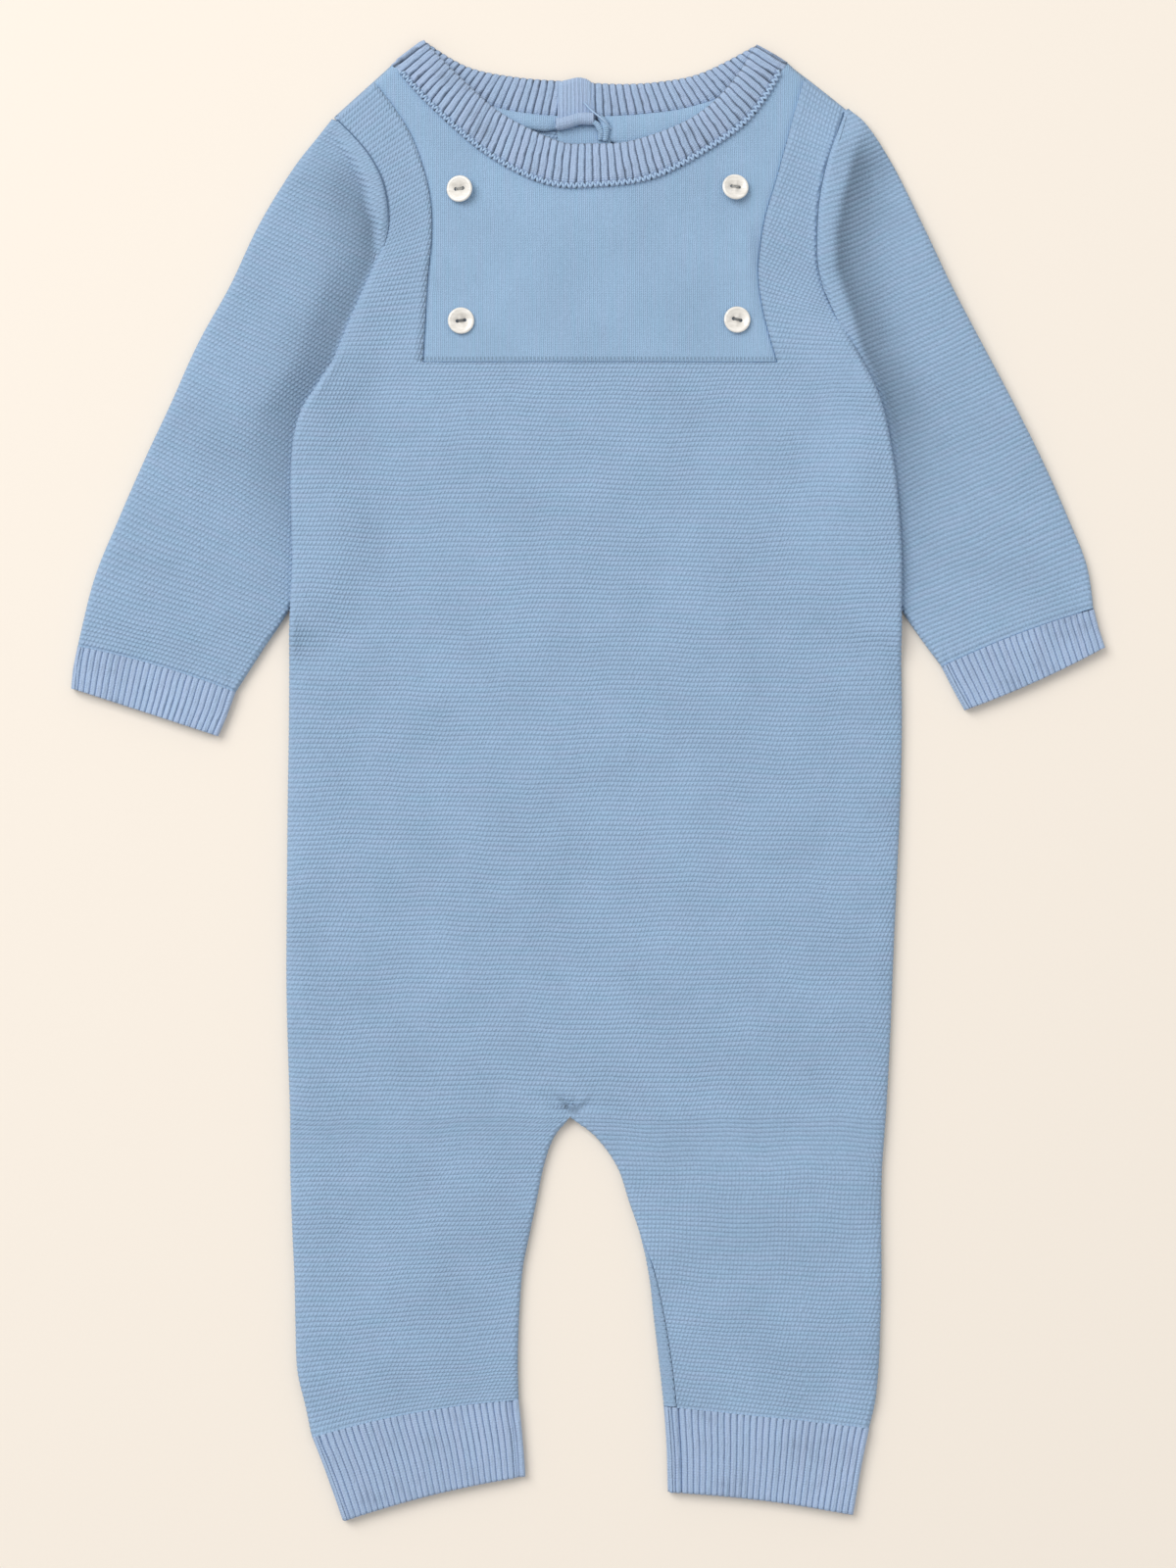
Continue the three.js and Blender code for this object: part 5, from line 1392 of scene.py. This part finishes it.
def button_mesh(sides):
    """A dished two-hole button round the origin, in millimetres."""
    radius, half = BUTTON_SIZE["diameter"] / 2, BUTTON_SIZE["thickness"] / 2
    hole, offset = BUTTON_SIZE["hole"] / 2, BUTTON_SIZE["hole_spacing"] / 2
    profile = [
        (0.86, -1.0), (0.96, -0.72), (1.0, -0.2), (1.0, 0.3), (0.97, 0.72), (0.91, 0.97),
        (0.84, 1.0), (0.78, 0.86), (0.72, 0.6),
    ]
    bm = bmesh.new()
    rings = [ring_of(bm, radius * across, half * up, sides) for across, up in profile]
    for lower, upper in zip(rings, rings[1:]):
        bmesh.ops.bridge_loops(bm, edges=lower + upper)
    holes = {}
    for level in (profile[0], profile[-1]):
        height = half * level[1]
        holes[level] = [ring_of(bm, hole, height, 16, (way * offset, 0)) for way in (-1, 1)]
    for level, ring_edges in ((profile[0], rings[0]), (profile[-1], rings[-1])):
        edges = ring_edges + holes[level][0] + holes[level][1]
        bmesh.ops.triangle_fill(bm, use_beauty=True, use_dissolve=False, edges=edges)
    for lower, upper in zip(holes[profile[0]], holes[profile[-1]]):
        bmesh.ops.bridge_loops(bm, edges=lower + upper)
    bmesh.ops.recalc_face_normals(bm, faces=bm.faces)
    return bm


def button_matrix(place):
    """Where a button lies on the bib: its tilt, its turn and its height."""
    angle, way = math.radians(place["tilt"]), math.radians(place["towards"])
    tilt = Matrix.Rotation(angle, 4, Vector((-math.sin(way), math.cos(way), 0)))
    turn = Matrix.Rotation(math.radians(place["turn"]), 4, "Z")
    x, y = place["x"], place["y"]
    rise = BUTTON_SIZE["diameter"] / 2 * math.sin(angle) + BUTTON_SIZE["thickness"] / 2 * math.cos(angle)
    surface = float(upper_front(np.array([x]), np.array([y]))[0]) + 0.75
    move = Matrix.Translation((x, y + CENTRE_Y, surface + rise * 0.92))
    return Matrix.Scale(MM, 4) @ move @ tilt @ turn


def button_threads(place, strands):
    """The strands of thread from hole to hole, and down through the holes."""
    offset = BUTTON_SIZE["hole_spacing"] / 2
    matrix = button_matrix(place)
    made = []
    for side in strands:
        arch = [(-offset, side, -0.9), (-offset * 0.98, side, 0.1), (-offset * 0.6, side * 1.2, 0.72),
                (0, side * 1.3, 0.86), (offset * 0.6, side * 1.2, 0.72), (offset * 0.98, side, 0.1),
                (offset, side, -0.9)]
        path = smooth_path(arch, 26)
        placed = np.array([matrix @ Vector(point) for point in path]) / MM
        placed[:, 1] -= CENTRE_Y
        made.append(tube(placed, 0.2, 8))
    return made


class RomperSizes(bpy.types.PropertyGroup):
    """Sizes of the knit."""

    ridge_pitch: FloatProperty(
        name="Ridge pitch", description="Distance between the ridges across the body and sleeves",
        default=1.89 * MM, min=1.0 * MM, max=6.0 * MM, precision=5, unit="LENGTH")
    ridge_height: FloatProperty(
        name="Ridge height", description="Height of a ridge over the dip beside it",
        default=0.4 * MM, min=0.0, max=2.0 * MM, precision=5, unit="LENGTH")
    rib_pitch: FloatProperty(
        name="Rib pitch", description="Distance between the ribs of the cuffs",
        default=2.45 * MM, min=1.0 * MM, max=8.0 * MM, precision=5, unit="LENGTH")
    neck_rib_pitch: FloatProperty(
        name="Neck rib pitch", description="Distance between the ribs of the neckband",
        default=3.0 * MM, min=1.0 * MM, max=8.0 * MM, precision=5, unit="LENGTH")
    rib_height: FloatProperty(
        name="Rib height", description="Half the height of a rib over the dip beside it",
        default=0.7 * MM, min=0.0, max=2.0 * MM, precision=5, unit="LENGTH")
    wale: FloatProperty(
        name="Stitch width", description="Width of one stitch in the body and the bib",
        default=1.5 * MM, min=0.5 * MM, max=5.0 * MM, precision=5, unit="LENGTH")
    button_sides: IntProperty(
        name="Button sides", description="Number of sides of a button's round edge",
        default=48, min=12, max=96)


class RomperColours(bpy.types.PropertyGroup):
    """Colours of the yarns and of the floor."""

    yarn: FloatVectorProperty(
        name="Yarn", description="Colour of the ridged knit and the ribs", subtype="COLOR",
        default=(0.33, 0.49, 0.70), min=0.0, max=1.0)
    rib: FloatVectorProperty(
        name="Ribs", description="Colour of the ribbed neckband and cuffs", subtype="COLOR",
        default=(0.385, 0.52, 0.735), min=0.0, max=1.0)
    bib: FloatVectorProperty(
        name="Bib", description="Colour of the plain knit of the bib", subtype="COLOR",
        default=(0.327, 0.50, 0.715), min=0.0, max=1.0)
    floor: FloatVectorProperty(
        name="Floor", description="Colour of the floor that the romper lies on", subtype="COLOR",
        default=(0.86, 0.805, 0.73), min=0.0, max=1.0)


class ROMPER_OT_back(bpy.types.Operator):
    """Lays the back, flat on the floor, with its slit"""

    bl_idname = "romper.back"
    bl_label = "Back"

    def execute(self, context):
        sheets = lay_body("back", context.scene.romper_sizes)
        cloth_piece(
            "romper_back", sheets, materials(context.scene)["ridged_cotton"], ["back_body"],
            flip=True)
        return {"FINISHED"}


class ROMPER_OT_front(bpy.types.Operator):
    """Lays the front, which rolls down to the back at its side and inner leg seams"""

    bl_idname = "romper.front"
    bl_label = "Front"

    def execute(self, context):
        sheets = lay_body("front", context.scene.romper_sizes)
        cloth_piece(
            "romper_front", sheets, materials(context.scene)["ridged_cotton"], ["front_body"])
        return {"FINISHED"}


class ROMPER_OT_bib(bpy.types.Operator):
    """Lays the plain knit bib between the side strips"""

    bl_idname = "romper.bib"
    bl_label = "Bib"

    def execute(self, context):
        cloth_piece(
            "romper_bib", lay_bib(), materials(context.scene)["plain_cotton"], ["bib_panel"],
            thickness=THICKNESS["bib"])
        return {"FINISHED"}


class ROMPER_OT_sleeves(bpy.types.Operator):
    """Lays the two sleeves beside and under the body"""

    bl_idname = "romper.sleeves"
    bl_label = "Sleeves"

    def execute(self, context):
        sizes, knit = context.scene.romper_sizes, materials(context.scene)["ridged_cotton"]
        for side in ("left", "right"):
            piece = cloth_piece(
                f"romper_sleeve_{side}", lay_sleeve(side, sizes), knit, [f"sleeve_{side}"])
            paint_fold_shade(piece)
        return {"FINISHED"}


class ROMPER_OT_cuffs(bpy.types.Operator):
    """Adds the ribbed cuffs of the sleeves and legs"""

    bl_idname = "romper.cuffs"
    bl_label = "Cuffs"

    def execute(self, context):
        sizes, knit = context.scene.romper_sizes, materials(context.scene)["ribbed_cotton"]
        for name in CUFFS:
            sheets, flat = lay_cuff(name, sizes)
            cloth_piece(
                "romper_" + name, sheets, knit, [name],
                thickness=THICKNESS["cuff"])
        return {"FINISHED"}


class ROMPER_OT_neckband(bpy.types.Operator):
    """Adds the ribbed neckband with its overlap at the centre back"""

    bl_idname = "romper.neckband"
    bl_label = "Neckband"

    def execute(self, context):
        sheets, flat = lay_neckband(context.scene.romper_sizes)
        cloth_piece(
            "romper_neckband", sheets, materials(context.scene)["neck_cotton"], ["neckband"],
            thickness=THICKNESS["neckband"])
        return {"FINISHED"}


class ROMPER_OT_back_neck(bpy.types.Operator):
    """Adds the button stand, the rolled seam edges and the end of the overlap inside the back neck"""

    bl_idname = "romper.back_neck"
    bl_label = "Back neck"

    def execute(self, context):
        finishes = materials(context.scene)
        knit = finishes["plain_cotton"]
        cloth_piece(
            "romper_placket", lay_placket(), knit, ["back_placket"],
            thickness=THICKNESS["placket"])
        for side, tape in NECK_TAPES.items():
            cloth_piece(
                f"romper_neck_tape_{side}", lay_neck_tape(**tape), knit, [f"neck_tape_{side}"],
                thickness=THICKNESS["neck tape"])
        cloth_piece(
            "romper_overlap_tab", lay_tab(), finishes["tab_cotton"], [],
            thickness=THICKNESS["overlap tab"])
        tail, loop = smooth_path(YARN_ENDS["tail"], 30), smooth_path(YARN_ENDS["loop"], 30)
        thick = 1.25 - 0.35 * np.abs(np.linspace(-1, 1, 30))
        tube_piece("romper_tails", [tube(tail, thick * 1.35, 12), tube(loop, thick, 12)], knit)
        loose = tube(smooth_path(YARN_ENDS["loose"], 60), 0.34, 8)
        tube_piece("romper_loose_thread", [loose], finishes["yarn_end"])
        return {"FINISHED"}


class ROMPER_OT_linking(bpy.types.Operator):
    """Adds the row of loops that links the neckband to the front"""

    bl_idname = "romper.linking"
    bl_label = "Linking row"

    def execute(self, context):
        finishes = materials(context.scene)
        tube_piece("romper_linking_row", neck_chain(), finishes["yarn_end"])
        # Dark tubes of painted shade along the armhole seams
        seams = [armhole_shade_line(side) for side in ("left", "right")]
        tube_piece("romper_armhole_thread", seams, finishes["seam_thread"])
        return {"FINISHED"}


class ROMPER_OT_buttons(bpy.types.Operator):
    """Adds the four shell buttons and their thread"""

    bl_idname = "romper.buttons"
    bl_label = "Buttons"

    def execute(self, context):
        finishes = materials(context.scene)
        threads = {"pale_thread": [], "button_thread": []}
        for name, place in BUTTONS.items():
            bm = button_mesh(context.scene.romper_sizes.button_sides)
            bmesh.ops.transform(bm, matrix=button_matrix(place), verts=bm.verts)
            piece = new_object("romper_" + name, bm, finishes["shell"])
            piece.data.polygons.foreach_set("use_smooth", [face.area > 0 for face in piece.data.polygons])
            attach(piece, "root")
            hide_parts(name)
            kind = "pale_thread" if "upper" in name else "button_thread"
            threads[kind] += button_threads(place, (-0.22, 0.22))
        for kind, strands in threads.items():
            tube_piece("romper_" + kind, strands, finishes[kind])
        return {"FINISHED"}


class ROMPER_OT_stage(bpy.types.Operator):
    """Adds the pale floor, the soft light and the camera straight above"""

    bl_idname = "romper.stage"
    bl_label = "Stage"

    def execute(self, context):
        scene = context.scene
        bm = bmesh.new()
        bmesh.ops.create_grid(bm, x_segments=1, y_segments=1, size=FLOOR_HALF)
        speckled_material(
            "pale_card", scene.romper_colours.floor, 0.985, 900.0, 0.5,
            {"Roughness": 0.9, "Specular IOR Level": 0.1})
        floor = new_object("floor", bm, bpy.data.materials["pale_card"], smooth=False)
        for name, light in LIGHTS.items():
            lamp = bpy.data.lights.new(name, "AREA")
            lamp.energy = light["energy"]
            lamp.size = light["size"]
            lamp.color = light["colour"]
            source = bpy.data.objects.new(name, lamp)
            source.location = light["place"]
            source.rotation_euler = light["turn"]
            scene.collection.objects.link(source)
        world = bpy.data.worlds.new("soft_room")
        world.use_nodes = True
        set_inputs(world.node_tree.nodes["Background"], ROOM)
        scene.world = world
        scene.view_settings.view_transform = "Standard"
        camera = bpy.data.cameras.new("camera")
        camera.sensor_fit = "AUTO"
        camera.sensor_width = CAMERA["sensor"]
        camera.lens = CAMERA["lens"]
        camera.clip_start = 0.1
        camera.clip_end = 20.0
        viewer = bpy.data.objects.new("camera", camera)
        viewer.location = (0.0, CENTRE_Y * MM - CAMERA["below_centre"], CAMERA["height"])
        scene.collection.objects.link(viewer)
        scene.camera = viewer
        return {"FINISHED"}


class ROMPER_PT_panel(bpy.types.Panel):
    """Lists the romper's settings and its pieces"""

    bl_idname = "ROMPER_PT_panel"
    bl_label = "Romper"
    bl_space_type = "VIEW_3D"
    bl_region_type = "UI"
    bl_category = "Romper"

    def draw(self, context):
        layout = self.layout
        for group in (context.scene.romper_sizes, context.scene.romper_colours):
            for name in group.__annotations__:
                layout.prop(group, name)
        for piece in PIECES:
            layout.operator(piece.bl_idname)


PIECES = (
    ROMPER_OT_back,
    ROMPER_OT_front,
    ROMPER_OT_bib,
    ROMPER_OT_sleeves,
    ROMPER_OT_cuffs,
    ROMPER_OT_neckband,
    ROMPER_OT_back_neck,
    ROMPER_OT_linking,
    ROMPER_OT_buttons,
    ROMPER_OT_stage,
)
CLASSES = (RomperSizes, RomperColours, *PIECES, ROMPER_PT_panel)


def register():
    """Adds the romper's settings, pieces and panel to Blender."""
    for item in CLASSES:
        bpy.utils.register_class(item)
    bpy.types.Scene.romper_sizes = PointerProperty(type=RomperSizes)
    bpy.types.Scene.romper_colours = PointerProperty(type=RomperColours)


def unregister():
    """Takes the romper's settings, pieces and panel away again."""
    del bpy.types.Scene.romper_colours
    del bpy.types.Scene.romper_sizes
    for item in reversed(CLASSES):
        bpy.utils.unregister_class(item)


def main():
    """Lays every piece in turn."""
    register()
    for piece in PIECES:
        group, name = piece.bl_idname.split(".")
        getattr(getattr(bpy.ops, group), name)()
    bpy.context.view_layer.update()


if __name__ == "__main__":
    main()
